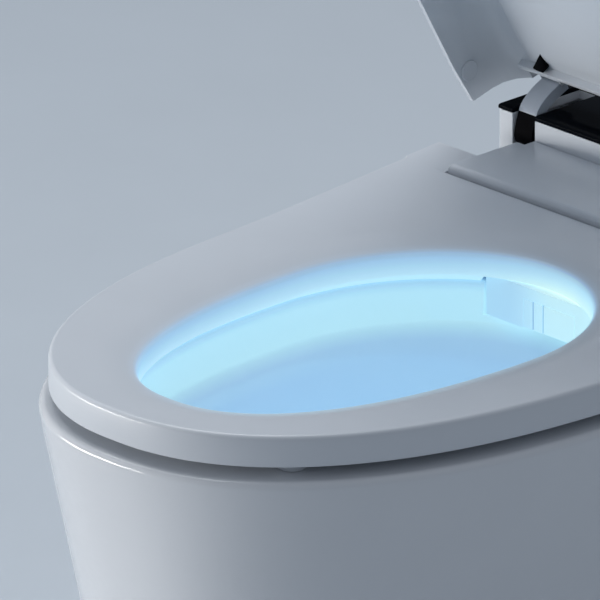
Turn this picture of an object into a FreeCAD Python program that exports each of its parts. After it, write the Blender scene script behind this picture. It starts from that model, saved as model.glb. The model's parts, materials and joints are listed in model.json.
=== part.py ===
import FreeCAD, Part
import math
import os
import re

import Sketcher
from FreeCAD import Placement, Rotation, Vector

# Bidet toilet with a raised lid: a skirted ceramic pedestal, a heated seat, a deep lid on two
# goosenecks, and a rear unit with the washing, drying and drive parts.
# Millimetres. X runs across, the front is at -Y, Z is up, and the floor is at zero.

SIZES = {
    # Plan of the ceramic rim
    "body_length": 676,
    "rim_height": 395,
    "unit_depth": 158,
    "side_blend": 60,
    "rim_mid_half": 188,
    "rim_rear_half": 206,
    "rim_ease": 1.5,
    "rim_ease_height": 4,
    "rear_corner_radius": 40,
    # Pedestal
    "foot_front_inset": 82,
    "foot_side_inset": 66,
    "ceramic_wall": 12,
    "deck_thickness": 14,
    "bowl_margin": 9,
    "sump_height": 150,
    "trap_radius": 28,
    "trap_wall": 10,
    "weir_setback": 55,
    "weir_height": 236,
    "outlet_setback": 62,
    "outlet_radius": 42,
    "outlet_height": 90,
    "service_inset": 14,
    "service_low": 45,
    "service_drop": 43,
    "floor_bolt_spacing": 210,
    "floor_bolt_setback": 97,
    "floor_bolt_radius": 6,
    "lug_height": 25,
    "lug_depth": 40,
    "lug_width": 40,
    "cap_radius": 13,
    "cap_height": 40,
    "cap_length": 9,
    "seal_height": 14,
    "seal_wall": 9,
    # Seat
    "seat_setback": 6.8,
    "seat_gap": 7.5,
    "seat_thickness": 21.5,
    "seat_base_thickness": 6.5,
    "seat_edge_radius": 5,
    "seat_corner_radius": 8,
    "seat_wall": 5,
    "opening_half": 105,
    "opening_dip": 6.5,
    "opening_dip_width": 30,
    "heater_thickness": 1,
    "heater_margin": 8,
    "seat_bumper_radius": 9,
    "seat_ear_gap": 2.5,
    "pivot_inset": 12,
    "pivot_rise": 13,
    "pivot_radius": 5,
    "pivot_reach": 24,
    # Front cover over the nozzles
    "cover_side_gap": 49,
    "cover_step": 5.4,
    "cover_overlap": 33,
    "cover_wall": 3,
    "cover_edge_radius": 4,
    "cover_seat_gap": 4.5,
    # Rear housing and its glass
    "box_gap": 35,
    "box_side_gap": 23,
    "box_height": 45,
    "box_wall": 3,
    "box_edge_radius": 6,
    "glass_thickness": 6.4,
    "glass_setback": 2,
    "glass_chamfer": 1,
    "slot_clearance": 2,
    "slot_depth": 60,
    "neck_relief": 9,
    "display_half": 48,
    "display_length": 40,
    "display_setback": 82,
    # Hinge line, goosenecks and lid
    "hinge_setback": 32.3,
    "hinge_rise": 27.7,
    "shaft_radius": 5,
    "shaft_overhang": 5.5,
    "arm_inset": 33.5,
    "arm_width": 16,
    "arm_thickness": 8,
    "arm_reach": 35,
    "hub_radius": 9.5,
    "lid_gap": 9.4,
    "lid_wall": 3.5,
    "lid_clearance": 1.5,
    "lid_crown": 8,
    "lid_hollow_radius": 22,
    "lid_panel_gap": 2.3,
    "lid_ear_gap": 3.5,
    "lid_ear_lean": 13.5,
    "lid_rear_wall": 8,
    "lid_lip_gap": 3.6,
    "liner_thickness": 3,
    "liner_margin": 24,
    "lid_pad_radius": 7,
    # Chassis and what it carries
    "chassis_side_gap": 3.5,
    "chassis_thickness": 3,
    "chassis_inset": 5,
    "chassis_back_gap": 8,
    "well_lip": 7,
    "well_back_gap": 21,
    "well_depth": 95,
    "well_margin": 1,
    "bearing_width": 12,
    "bearing_depth": 25,
    "bearing_cover": 6,
    "balance_radius": 13,
    "balance_gap": 22,
    "balance_coil": 15,
    "balance_groove": 1.5,
    "motor_radius": 12.5,
    "motor_length": 64,
    "screw_radius": 2.5,
    "screw_head_radius": 5,
    "screw_head": 2.5,
    # Washing and drying
    "mouth_reach": 46,
    "mouth_drop": 16.5,
    "guide_half": 26,
    "guide_height": 24,
    "guide_reach": 4.7,
    "wand_radius": 6.5,
    "wand_setback": 5,
    "wand_pitch": 24,
    "wand_tip": 16,
    "jet_radius": 1.2,
    "duct_width": 28,
    "duct_height": 20,
    "duct_setback": 14,
    "duct_wall": 2,
    "vent_slot": 2.4,
    "window_drop": 31,
    "window_inset": 10,
    "nozzle_motor_radius": 9,
    "nozzle_motor_length": 14,
    "fan_gap": 10,
    "fan_shift": 4,
    "fan_radius": 38,
    "fan_height": 34,
    "fan_wall": 2.5,
    "fan_inlet_radius": 20,
    "fan_motor_radius": 14,
    "fan_motor_height": 18,
    "impeller_radius": 30,
    "impeller_hub_radius": 9,
    "impeller_base": 3,
    "blade_thickness": 1.6,
    "air_fan_gap": 14,
    "air_fan_radius": 30,
    "air_impeller_radius": 22,
    "filter_width": 52,
    "filter_depth": 16,
    "filter_height": 44,
    "heater_width": 92,
    "heater_depth": 34,
    "heater_height": 68,
    "pump_radius": 17,
    "pump_length": 72,
    "pump_gap": 9,
    "valve_width": 66,
    "valve_depth": 26,
    "valve_height": 30,
    "coil_radius": 10,
    "coil_height": 26,
    "supply_width": 86,
    "supply_depth": 17,
    "supply_height": 58,
    "board_width": 150,
    "board_depth": 72,
    "board_thickness": 1.6,
    "board_drop": 11,
    "chip_size": 16,
    "chip_height": 3,
    "light_depth": 8,
    "inlet_inset": 79,
    "inlet_rise": 30,
    "inlet_radius": 10.5,
    "inlet_length": 15,
    "inlet_relief": 1,
    "inlet_shoulder": 1.2,
    "inlet_bore": 6,
    "inlet_flange_radius": 14.5,
    "gland_inset": 43,
    "gland_radius": 8,
    "gland_length": 15,
    # Side knob
    "knob_setback": 52,
    "knob_radius": 15,
    "knob_length": 9,
    "knob_base_radius": 17,
    "knob_base_length": 3,
    "spindle_radius": 10,
    "button_radius": 8,
    "button_proud": 1.5,
    # Fits
    "running_fit": 0.05,
    "sliding_fit": 0.3,
    "overrun": 2,
}

SETTINGS = {
    "nose_power": 2.28,
    "nose_share": 0.6563,
    "opening_power": 2.3,
    "opening_place_share": 0.5445,
    "opening_front_share": 0.4245,
    "opening_rear_share": 0.2588,
    "lid_open_angle": 57,
    "nozzle_angle": 15,
    "blade_count": 11,
    "grip_count": 18,
    "air_fan_height_share": 0.8,
    "blade_start_share": 0.62,
    "fan_bridge_share": 0.33,
    "fan_motor_share": 0.8,
    "heater_spout_share": 0.33,
    "pump_motor_share": 0.85,
    "pump_head_share": 0.33,
    "chip_pitch_share": 1.5,
    "gland_nose_share": 0.7,
    "dial_side_share": 0.8,
    "dial_face_share": 0.9,
    "grip_floor_share": 0.94,
    "grip_half_share": 0.05,
    "button_face_share": 0.8,
}

PLACES = {
    # Along the body: the rear unit keeps its depth, and the bowl takes what is left
    "front_y": "-body_length / 2",
    "back_y": "body_length / 2",
    "box_front": "back_y - unit_depth",
    "side_y": "box_front - box_gap",
    "bowl_length": "side_y - front_y",
    "nose_length": "bowl_length * nose_share",
    "side_length": "bowl_length - nose_length",
    "nose_y": "front_y + nose_length",
    "opening_y": "front_y + bowl_length * opening_place_share",
    "opening_front": "bowl_length * opening_front_share",
    "opening_rear": "bowl_length * opening_rear_share",
    "weir_y": "opening_y + opening_rear + weir_setback",
    "outlet_y": "weir_y - outlet_setback",
    "floor_bolt_y": "outlet_y + floor_bolt_setback",
    "pivot_y": "side_y - pivot_inset",
    "cover_front": "side_y - cover_overlap",
    "hinge_y": "box_front + hinge_setback",
    "hinge_sweep": "sqrt(hinge_setback ^ 2 + (glass_top - hinge_z) ^ 2) + lid_clearance",
    "lid_panel_back": "box_front - lid_panel_gap",
    "lid_ear_reach": "box_front - lid_ear_gap",
    "chassis_front": "cover_front + chassis_inset",
    "chassis_back": "back_y - chassis_back_gap",
    "well_front": "box_front + box_wall",
    "well_back": "back_y - well_back_gap",
    "fan_y": "(well_front + well_back) / 2 + fan_shift",
    "pump_y": "well_back - chassis_thickness - pump_gap - pump_radius",
    "knob_y": "back_y - knob_setback",
    "mouth_y": "cover_front - mouth_reach",
    "window_front": "opening_y + opening_rear - window_inset",
    "guide_length": "(well_front + guide_reach - mouth_y) / cos(nozzle_angle)",
    "wand_length": "guide_length - wand_setback",
    "duct_length": "guide_length - duct_setback",
    # Across
    "box_half": "rim_rear_half - box_side_gap",
    "arm_inner": "box_half - arm_inset",
    "cover_half": "rim_rear_half - cover_side_gap",
    "chassis_half": "arm_inner - chassis_side_gap",
    "well_half": "chassis_half - well_lip",
    "service_half": "well_half - service_inset",
    "inlet_x": "well_half - inlet_inset",
    "gland_x": "well_half - gland_inset",
    "balance_length": "2 * (chassis_half - bearing_width) - motor_length - slot_clearance - balance_gap",
    "arm_outer": "arm_inner + arm_width",
    "shaft_half": "arm_outer + shaft_overhang",
    "window_half": "guide_half + duct_width + well_margin",
    "fan_x": "well_half - chassis_thickness - fan_gap - fan_radius",
    "air_fan_x": "well_half - chassis_thickness - air_fan_gap - air_fan_radius",
    # Up
    "seat_bottom": "rim_height + seat_gap",
    "seat_top": "seat_bottom + seat_thickness",
    "seat_split": "seat_bottom + seat_base_thickness",
    "pivot_z": "seat_bottom + pivot_rise",
    "cover_top": "seat_top + cover_step",
    "deck_top": "rim_height + chassis_thickness",
    "box_top": "rim_height + box_height",
    "box_ceiling": "box_top - box_wall",
    "glass_top": "box_top + glass_thickness",
    "hinge_z": "rim_height + hinge_rise",
    "lid_bottom": "rim_height + lid_gap",
    "lid_top": "glass_top",
    "lid_ceiling": "lid_top - lid_wall",
    "lid_lip": "cover_top + lid_lip_gap",
    "liner_bottom": "lid_ceiling - liner_thickness",
    "mouth_z": "rim_height - mouth_drop",
    "well_floor": "rim_height - well_depth",
    "tray_floor": "well_floor + chassis_thickness",
    "service_high": "rim_height - service_drop",
    "inlet_height": "well_floor + inlet_rise",
    "fan_bottom": "tray_floor",
    "air_fan_height": "fan_height * air_fan_height_share",
    "knob_z": "(rim_height + box_top) / 2",
}

# How near to upright an edge is that counts as upright.
UPRIGHT_SHARE = 0.9
# Depth from the rim to the sump, and size against the bowl's mouth, of each ring of the bowl.
BOWL_SHARES = ((-0.02, 1.0), (0.12, 0.985), (0.165, 0.92), (0.5, 0.74), (0.84, 0.46), (1.0, 0.34))
# A gooseneck's centre line with the lid shut, from the hinge axis, against its reach.
NECK_SHARES = ((0, 0), (-0.23, -0.44), (-0.52, -0.62), (-0.89, -0.28), (-0.96, -0.1), (-0.95, 0.32),
               (-0.91, 0.55))
NECK_BRACKET_POINTS = 4
# Steps round the lid's crown and its hollow's corner.
LID_ROUND_STEPS = 4
# The seat's bumpers and the lid's front pads, against the half width and the nose length.
SEAT_BUMPER_SHARES = ((0.8, 0.35), (0.5, -0.78))
LID_PAD_SHARES = ((0.42, -0.84),)

doc = FreeCAD.newDocument("BidetToilet")


def fill_sheet(name, cells):
    """Makes a sheet with one named cell to a row."""
    sheet = doc.addObject("Spreadsheet::Sheet", name)
    for row, (alias, content) in enumerate(cells.items(), 1):
        sheet.set(f"A{row}", alias)
        sheet.set(f"B{row}", str(content))
        sheet.setAlias(f"B{row}", alias)
    return sheet


def linked(formula, own=None):
    """Puts the sheet's name before each cell's name in a formula."""
    def owner(match):
        word = match.group(0)
        for name, cells in (("Sizes", SIZES), ("Settings", SETTINGS), ("Places", PLACES)):
            if word in cells:
                return word if name == own else f"{name}.{word}"
        return word
    return re.sub(r"[a-z_]\w*", owner, formula)


fill_sheet("Sizes", SIZES)
fill_sheet("Settings", SETTINGS)
places = fill_sheet("Places", {name: "=" + linked(text, "Places") for name, text in PLACES.items()})
doc.recompute()


def value(formula):
    """Works a formula of named cells out as a number."""
    return float(places.evalExpression(linked(formula)))


def bind(thing, **formulas):
    """Ties properties of an object to formulas; a double underscore stands for a dot."""
    for name, formula in formulas.items():
        thing.setExpression(name.replace("__", "."), linked(formula))
    return thing


def block(label, x, y, z):
    """A box between two formulas along each axis."""
    thing = doc.addObject("Part::Box", label)
    sides = zip(("Length", "Width", "Height"), ("x", "y", "z"), (x, y, z))
    for side, axis, (low, high) in sides:
        thing.setExpression(side, linked(f"({high}) - ({low})"))
        thing.setExpression(f"Placement.Base.{axis}", linked(low))
    return thing


TURNS = {"X": Rotation(Vector(0, 1, 0), 90), "Y": Rotation(Vector(1, 0, 0), -90), "Z": Rotation()}


def rod(label, axis, start, radius, length):
    """A cylinder that starts at a point and runs along an axis."""
    thing = doc.addObject("Part::Cylinder", label)
    thing.Placement = Placement(Vector(), TURNS[axis])
    x, y, z = start
    return bind(thing, Radius=radius, Height=length,
                Placement__Base__x=x, Placement__Base__y=y, Placement__Base__z=z)


def fuse(label, *things):
    """Joins things that make one piece."""
    thing = doc.addObject("Part::MultiFuse", label)
    thing.Shapes = list(things)
    return thing


def cut(label, base, *tools):
    """Takes tools away from a piece."""
    thing = doc.addObject("Part::Cut", label)
    thing.Base = base
    thing.Tool = tools[0] if len(tools) == 1 else fuse(label + "_tools", *tools)
    return thing


def feature(label, shape, placement=None):
    """A piece whose form is lofted or swept."""
    thing = doc.addObject("Part::Feature", label)
    thing.Shape = shape
    if placement is not None:
        thing.Placement = placement
    return thing


def sketch(body, role, points, lift="0"):
    """A closed outline of straight lines on one of a body's planes, each corner tied to formulas."""
    thing = body.newObject("Sketcher::SketchObject", body.Label + "_outline")
    plane = next(item for item in body.Origin.OriginFeatures if item.Role == role)
    thing.AttachmentSupport = [(plane, "")]
    thing.MapMode = "FlatFace"
    bind(thing, AttachmentOffset__Base__z=lift)
    corners = [Vector(value(across), value(up), 0) for across, up in points]
    count = len(corners)
    for index, corner in enumerate(corners):
        thing.addGeometry(Part.LineSegment(corner, corners[(index + 1) % count]))
    for index in range(count):
        thing.addConstraint(Sketcher.Constraint("Coincident", index, 2, (index + 1) % count, 1))
    for index, formulas in enumerate(points):
        spots = zip(("DistanceX", "DistanceY"), formulas, (corners[index].x, corners[index].y))
        for kind, formula, spot in spots:
            number = thing.addConstraint(Sketcher.Constraint(kind, index, 1, spot))
            thing.setExpression(f"Constraints[{number}]", linked(formula))
    return thing


def pad(body, role, points, lift, length):
    """A pad of an outline, from a lift above its plane."""
    thing = body.newObject("PartDesign::Pad", body.Label + "_pad")
    thing.Profile = sketch(body, role, points, lift)
    return bind(thing, Length=length)


def turned(label, points):
    """A body turned about the Z axis from half of its section."""
    body = doc.addObject("PartDesign::Body", label)
    profile = sketch(body, "XZ_Plane", points)
    thing = body.newObject("PartDesign::Revolution", label + "_turn")
    thing.Profile = profile
    thing.ReferenceAxis = (profile, ["V_Axis"])
    thing.Angle = 360
    return body


def rectangle(low_x, high_x, low_y, high_y):
    """The corners of an upright rectangle."""
    return [(low_x, low_y), (high_x, low_y), (high_x, high_y), (low_x, high_y)]


def mirrored(shape):
    """A shape with its mirror image across the middle plane."""
    return Part.makeCompound([shape, shape.mirror(Vector(), Vector(1, 0, 0))])


def edges_at(shape, test):
    """The edges whose points all pass a test."""
    return [edge for edge in shape.Edges if all(test(point) for point in edge.discretize(3))]


def is_upright(edge):
    """Whether an edge runs up."""
    return abs(edge.tangentAt(edge.FirstParameter).z) > UPRIGHT_SHARE


def plan_wire(z, side_grow, front_grow, back, corner=0):
    """The rim's plan at a height, grown at its sides and front, with its rear edge at a depth."""
    mid = value("rim_mid_half") + side_grow
    rear = value("rim_rear_half") + side_grow
    nose = value("nose_length") + front_grow
    nose_y, side_y = value("nose_y"), value("side_y")
    run, blend = value("side_length"), value("side_blend")
    power = 2 / value("nose_power")
    slope = (rear - mid) / run
    steps = 16
    points = []
    for step in range(steps + 1):
        angle = math.pi * (step / steps - 0.5)
        ahead = nose * math.cos(angle) ** power if abs(angle) < math.pi / 2 else 0
        half = mid * abs(math.sin(angle)) ** power
        half -= slope * ahead * math.exp(-ahead / blend) * abs(math.sin(angle))
        points.append(Vector(math.copysign(half, angle), nose_y - ahead, z))
    curve = Part.BSplineCurve()
    curve.interpolate(points, InitialTangent=Vector(slope, -1, 0), FinalTangent=Vector(slope, 1, 0))
    right = [points[-1], Vector(rear, side_y, z)]
    if back > side_y:
        right.append(Vector(rear, back - corner, z))
    elif back < side_y:
        right[-1] = Vector(mid + slope * (back - nose_y), back, z)
    left = [Vector(-point.x, point.y, z) for point in reversed(right)]
    edges = [curve.toShape()]
    edges += [Part.makeLine(a, b) for a, b in zip(right, right[1:])]
    start, end = right[-1], left[0]
    if corner:
        inner = rear - corner
        bulge = corner * math.sqrt(0.5)
        for sign in (1, -1):
            side = Vector(sign * rear, back - corner, z)
            middle = Vector(sign * (inner + bulge), back - corner + bulge, z)
            behind = Vector(sign * inner, back, z)
            ends = (side, behind) if sign > 0 else (behind, side)
            edges.append(Part.Arc(ends[0], middle, ends[1]).toShape())
            if sign > 0:
                edges.append(Part.makeLine(behind, Vector(-inner, back, z)))
    else:
        edges.append(Part.makeLine(start, end))
    edges += [Part.makeLine(a, b) for a, b in zip(left, left[1:])]
    return Part.Wire(edges)


def egg_wire(z, grow=0, share=1):
    """The seat opening's plan at a height, grown and then scaled about its widest point."""
    half = (value("opening_half") + grow) * share
    front = (value("opening_front") + grow) * share
    rear = (value("opening_rear") + grow) * share
    power = 2 / value("opening_power")
    steps = 24
    points = []
    for step in range(steps):
        angle = 2 * math.pi * step / steps
        across, along = math.sin(angle), math.cos(angle)
        if along > 0:
            across = math.copysign(abs(across) ** power, across)
            along **= power
        ahead = (front if along > 0 else rear) * along
        points.append(Vector(half * across, value("opening_y") - ahead, z))
    curve = Part.BSplineCurve()
    curve.interpolate(points, PeriodicFlag=True)
    return Part.Wire([curve.toShape()])


def loft(wires):
    """A solid with straight sides from ring to ring."""
    return Part.makeLoft(wires, True, True)


def solid_box(x, y, z):
    """A plain box shape between two formulas along each axis."""
    low = Vector(*(value(pair[0]) for pair in (x, y, z)))
    high = Vector(*(value(pair[1]) for pair in (x, y, z)))
    return Part.makeBox(high.x - low.x, high.y - low.y, high.z - low.z, low)


def pipe(points, radius):
    """A round pipe along straight runs with ball joints."""
    shapes = []
    for start, end in zip(points, points[1:]):
        run = end - start
        shapes.append(Part.makeCylinder(radius, run.Length, start, run))
    shapes += [Part.makeSphere(radius, point) for point in points[1:-1]]
    return shapes[0].fuse(shapes[1:]).removeSplitter()


# Pedestal

def bowl_solid(grow, sink):
    """The bowl's hollow, or its outer skin when it is grown."""
    rim, sump = value("rim_height"), value("sump_height") - sink
    rings = []
    for depth_share, size_share in BOWL_SHARES:
        ring_grow = value("bowl_margin") + grow / size_share
        rings.append(egg_wire(rim - (rim - sump) * depth_share, ring_grow, size_share))
    return loft(rings)


def skirt_solid(inset, low, high):
    """The tapering skirt between two heights, drawn in all round by an inset."""
    rim = value("rim_height - rim_ease_height")
    back, corner = value("back_y"), value("rear_corner_radius")
    rings = []
    for z in (low, min(high, rim)):
        share = 1 - z / rim
        side = -value("foot_side_inset") * share - inset
        front = -value("foot_front_inset") * share - inset
        rings.append(plan_wire(z, side, front, back - inset, corner))
    if high > rim:
        ease = value("rim_ease")
        rings.append(plan_wire(high, -inset - ease, -inset - ease, back - inset, corner))
    return loft(rings)


def ceramic_pedestal():
    """The skirted pedestal: outer skirt, bowl, trap and floor lugs in one casting."""
    over, wall = value("overrun"), value("ceramic_wall")
    outlet_y = value("outlet_y")
    sump = Vector(0, value("opening_y"), value("sump_height + trap_radius"))
    weir = Vector(0, value("weir_y"), value("weir_height"))
    knee = Vector(0, outlet_y, value("outlet_height"))
    passage = value("trap_radius")
    skin = passage + value("trap_wall")
    outlet = value("outlet_radius")
    drain = Part.makeCylinder(outlet, value("outlet_height") + over, Vector(0, outlet_y, -over))
    collar = Part.makeCylinder(outlet + value("trap_wall"), value("outlet_height + trap_wall"),
                               Vector(0, outlet_y, 0))
    lug = solid_box(("floor_bolt_spacing / 2 - lug_width / 2",
                     "rim_rear_half - foot_side_inset - ceramic_wall / 2"),
                    ("floor_bolt_y - lug_depth / 2", "floor_bolt_y + lug_depth / 2"), ("0", "lug_height"))
    hole = Part.makeCylinder(value("floor_bolt_radius"), value("lug_height") + 2 * over,
                             Vector(value("floor_bolt_spacing / 2"), value("floor_bolt_y"), -over))
    access = Part.makeCylinder(value("cap_radius + sliding_fit"), value("foot_side_inset"),
                               Vector(value("rim_rear_half - foot_side_inset - ceramic_wall"),
                                      value("floor_bolt_y"), value("cap_height")), Vector(1, 0, 0))
    hollow = skirt_solid(wall, -over, value("rim_height - deck_thickness"))
    hollow = hollow.cut([bowl_solid(wall, wall), pipe([sump, weir, knee], skin), collar])
    hollow = hollow.cut(mirrored(lug).Solids)
    well = solid_box(("-well_half - well_margin", "well_half + well_margin"),
                     ("well_front - well_margin", "well_back + well_margin"),
                     ("rim_height - deck_thickness - overrun", "rim_height + overrun"))
    window = solid_box(("-window_half", "window_half"), ("window_front", "well_front"),
                       ("rim_height - window_drop", "rim_height + overrun"))
    service = solid_box(("-service_half", "service_half"), ("back_y - 2 * ceramic_wall", "back_y + overrun"),
                        ("service_low", "service_high"))
    shape = skirt_solid(0, 0, value("rim_height"))
    shape = shape.cut([hollow, bowl_solid(0, 0), pipe([sump, weir, knee], passage), drain])
    shape = shape.cut([well, window, service] + mirrored(hole).Solids + mirrored(access).Solids)
    return feature("ceramic_pedestal", shape)


def outlet_seal():
    """The rubber ring round the waste outlet, inside the collar."""
    ring = turned("outlet_seal", [("outlet_radius + trap_wall + sliding_fit", "0"),
                                  ("outlet_radius + trap_wall + seal_wall", "0"),
                                  ("outlet_radius + trap_wall + seal_wall / 2", "seal_height"),
                                  ("outlet_radius + trap_wall + sliding_fit", "seal_height")])
    return bind(ring, Placement__Base__y="outlet_y")


def access_caps():
    """The plugs in the two holes that reach the floor bolts."""
    inner = "rim_rear_half - foot_side_inset * (1 - cap_height / rim_height) - ceramic_wall / 2"
    y, z = "floor_bolt_y", "cap_height"
    right = rod("access_cap_right", "X", (f"{inner} - cap_length / 2", y, z), "cap_radius", "cap_length")
    left = rod("access_cap_left", "X", (f"-({inner}) - cap_length / 2", y, z), "cap_radius", "cap_length")
    return fuse("access_caps", right, left)


# Seat

def seat_solid(low, high, ease):
    """The seat's plan between two heights, with the cover's notch and an eased top edge."""
    setback, back = -value("seat_setback"), value("side_y")
    rings = [plan_wire(low, setback, setback, back), plan_wire(high, setback, setback, back)]
    shape = loft(rings)
    corners = edges_at(shape, lambda p: p.y > back - value("overrun") and abs(p.x) > value("cover_half"))
    shape = shape.makeFillet(value("seat_corner_radius"), [edge for edge in corners if is_upright(edge)])
    if ease:
        top = edges_at(shape, lambda p: abs(p.z - high) < value("running_fit"))
        shape = shape.makeFillet(ease, top)
    notch = solid_box(("-cover_half - seat_ear_gap", "cover_half + seat_ear_gap"),
                      ("cover_front - cover_seat_gap", "side_y + overrun"),
                      ("seat_bottom - overrun", "seat_top + overrun"))
    return shape.cut(notch)


def seat_upper_shell():
    """The heated shell that is sat on, hollow below, with the pivot bores in its ears."""
    low, high, dip = value("seat_split"), value("seat_top"), value("opening_dip")
    over = value("overrun")
    wide = value("opening_dip_width")
    spread = wide / dip
    shape = seat_solid(low, high, value("seat_edge_radius"))
    mouth = loft([egg_wire(low - over), egg_wire(high - dip)])
    slope = loft([egg_wire(high - dip), egg_wire(high + over, wide + over * spread)])
    shape = shape.cut([mouth, slope])
    inset = -value("seat_setback + seat_wall")
    back = value("cover_front - cover_seat_gap - seat_wall")
    ceiling = high - dip - value("seat_wall") / 2
    room = loft([plan_wire(z, inset, inset, back) for z in (low - over, ceiling)])
    room = room.cut(loft([egg_wire(z, value("seat_wall")) for z in (low - 2 * over, ceiling + over)]))
    spot = Vector(value("cover_half"), value("pivot_y"), value("pivot_z"))
    bore = Part.makeCylinder(value("pivot_radius + running_fit"), value("pivot_reach + overrun"), spot,
                             Vector(1, 0, 0))
    return feature("seat_upper_shell", shape.cut([room] + mirrored(bore).Solids))


def seat_lower_shell():
    """The flat underside of the seat."""
    low, high, over = value("seat_bottom"), value("seat_split"), value("overrun")
    shape = seat_solid(low, high, 0)
    return feature("seat_lower_shell", shape.cut(loft([egg_wire(low - over), egg_wire(high + over)])))


def seat_heater():
    """The heating foil under the seat's top."""
    ceiling = value("seat_top - opening_dip - seat_wall / 2")
    floor = ceiling - value("heater_thickness")
    inset = -value("seat_setback + seat_wall + heater_margin")
    back = value("cover_front - cover_seat_gap - seat_wall - heater_margin")
    foil = loft([plan_wire(z, inset, inset, back) for z in (floor, ceiling)])
    over, grow = value("overrun"), value("seat_wall + heater_margin")
    mouth = loft([egg_wire(floor - over, grow), egg_wire(ceiling + over, grow)])
    return feature("seat_heater", foil.cut(mouth))


def seat_bumpers():
    """Four rubber feet under the seat."""
    pads = []
    for row, (across, along) in enumerate(SEAT_BUMPER_SHARES):
        for sign in (1, -1):
            spot = (f"{sign * across} * rim_mid_half", f"nose_y + {along} * nose_length",
                    "rim_height + sliding_fit")
            pads.append(rod(f"seat_bumper_{row}_{'right' if sign > 0 else 'left'}", "Z", spot,
                            "seat_bumper_radius", "seat_gap - sliding_fit"))
    return fuse("seat_bumpers", *pads)


def seat_hinge_pins():
    """The two pins on the front cover that the seat turns on."""
    inner, length = "cover_half - cover_wall * 4", "cover_wall * 4 + pivot_reach"
    right = rod("seat_pin_right", "X", (inner, "pivot_y", "pivot_z"), "pivot_radius", length)
    left = rod("seat_pin_left", "X", (f"-({inner}) - ({length})", "pivot_y", "pivot_z"), "pivot_radius",
               length)
    return fuse("seat_hinge_pins", right, left)


# Covers of the rear unit

def front_cover():
    """The step behind the seat that hides the nozzles."""
    body = doc.addObject("PartDesign::Body", "front_cover_shell")
    plan = rectangle("-cover_half", "cover_half", "cover_front", "box_front - sliding_fit")
    top = pad(body, "XY_Plane", plan, "rim_height", "cover_top - rim_height")
    doc.recompute()
    edges = [f"Edge{number}" for number, edge in enumerate(top.Shape.Edges, 1)
             if all(v.Point.z > value("cover_top - overrun") for v in edge.Vertexes)
             and not all(v.Point.y > value("box_front - overrun") for v in edge.Vertexes)]
    rounding = body.newObject("PartDesign::Fillet", "front_cover_edge")
    rounding.Base = (top, edges)
    bind(rounding, Radius="cover_edge_radius")
    room = block("front_cover_room", ("-cover_half + cover_wall", "cover_half - cover_wall"),
                 ("cover_front + cover_wall", "box_front + overrun"),
                 ("rim_height - overrun", "cover_top - cover_wall"))
    reach = "cover_half + overrun"
    pins = rod("front_cover_pins", "X", (f"-({reach})", "pivot_y", "pivot_z"), "pivot_radius + running_fit",
               f"2 * ({reach})")
    mouth = block("front_cover_mouth", ("-window_half", "window_half"),
                  ("cover_front - overrun", "cover_front + cover_wall + overrun"),
                  ("rim_height - overrun", "mouth_z + guide_height + cover_wall"))
    inner, outer = "arm_inner - slot_clearance", "cover_half + overrun"
    depth = ("box_front - neck_relief", "box_front + overrun")
    height = ("rim_height - overrun", "cover_top + overrun")
    necks = [block("front_cover_neck_right", (inner, outer), depth, height),
             block("front_cover_neck_left", (f"-({outer})", f"-({inner})"), depth, height)]
    return cut("front_cover", body, room, pins, mouth, *necks)


def neck_slots(label, low, high):
    """The two slots that the goosenecks swing through."""
    depth = ("box_front - overrun", "box_front + slot_depth")
    inner, outer = "arm_inner - slot_clearance", "arm_outer + slot_clearance"
    return [block(label + "_right", (inner, outer), depth, (low, high)),
            block(label + "_left", (f"-({outer})", f"-({inner})"), depth, (low, high))]


def rear_housing():
    """The white housing behind the seat, open below."""
    body = doc.addObject("PartDesign::Body", "rear_housing_shell")
    shell = pad(body, "XY_Plane", rectangle("-box_half", "box_half", "box_front", "back_y"), "rim_height",
                "box_height")
    doc.recompute()
    upright = [f"Edge{number}" for number, edge in enumerate(shell.Shape.Edges, 1) if is_upright(edge)]
    rounding = body.newObject("PartDesign::Fillet", "rear_housing_corner")
    rounding.Base = (shell, upright)
    bind(rounding, Radius="box_edge_radius")
    room = block("rear_housing_room", ("-box_half + box_wall", "box_half - box_wall"),
                 ("box_front + box_wall", "back_y - box_wall"), ("rim_height - overrun", "box_ceiling"))
    window = block("rear_housing_window", ("-display_half", "display_half"),
                   ("box_front + display_setback", "box_front + display_setback + display_length"),
                   ("box_ceiling - overrun", "box_top + overrun"))
    path = block("rear_housing_path", ("-window_half", "window_half"),
                 ("box_front - overrun", "box_front + box_wall + overrun"),
                 ("rim_height - overrun", "box_ceiling"))
    sill = block("rear_housing_sill", ("-chassis_half - sliding_fit", "chassis_half + sliding_fit"),
                 ("box_front - overrun", "box_front + box_wall + overrun"),
                 ("rim_height - overrun", "deck_top"))
    slots = neck_slots("rear_housing_slot", "rim_height - overrun", "box_top + overrun")
    return cut("rear_housing", body, room, window, path, sill, *slots)


def glass_top_panel():
    """The black glass on the rear housing."""
    body = doc.addObject("PartDesign::Body", "glass_plate")
    plan = rectangle("-box_half + glass_setback", "box_half - glass_setback", "box_front",
                     "back_y - glass_setback")
    plate = pad(body, "XY_Plane", plan, "box_top", "glass_thickness")
    doc.recompute()
    top = [f"Edge{number}" for number, edge in enumerate(plate.Shape.Edges, 1)
           if all(v.Point.z > value("glass_top - running_fit") for v in edge.Vertexes)]
    ease = body.newObject("PartDesign::Chamfer", "glass_edge")
    ease.Base = (plate, top)
    bind(ease, Size="glass_chamfer")
    return cut("glass_top_panel", body, *neck_slots("glass_slot", "box_top - overrun", "glass_top + overrun"))


def display_board():
    """The display under the glass."""
    return block("display_board", ("-display_half + sliding_fit", "display_half - sliding_fit"),
                 ("box_front + display_setback + sliding_fit",
                  "box_front + display_setback + display_length - sliding_fit"), ("box_ceiling", "box_top"))


# Lid

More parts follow.
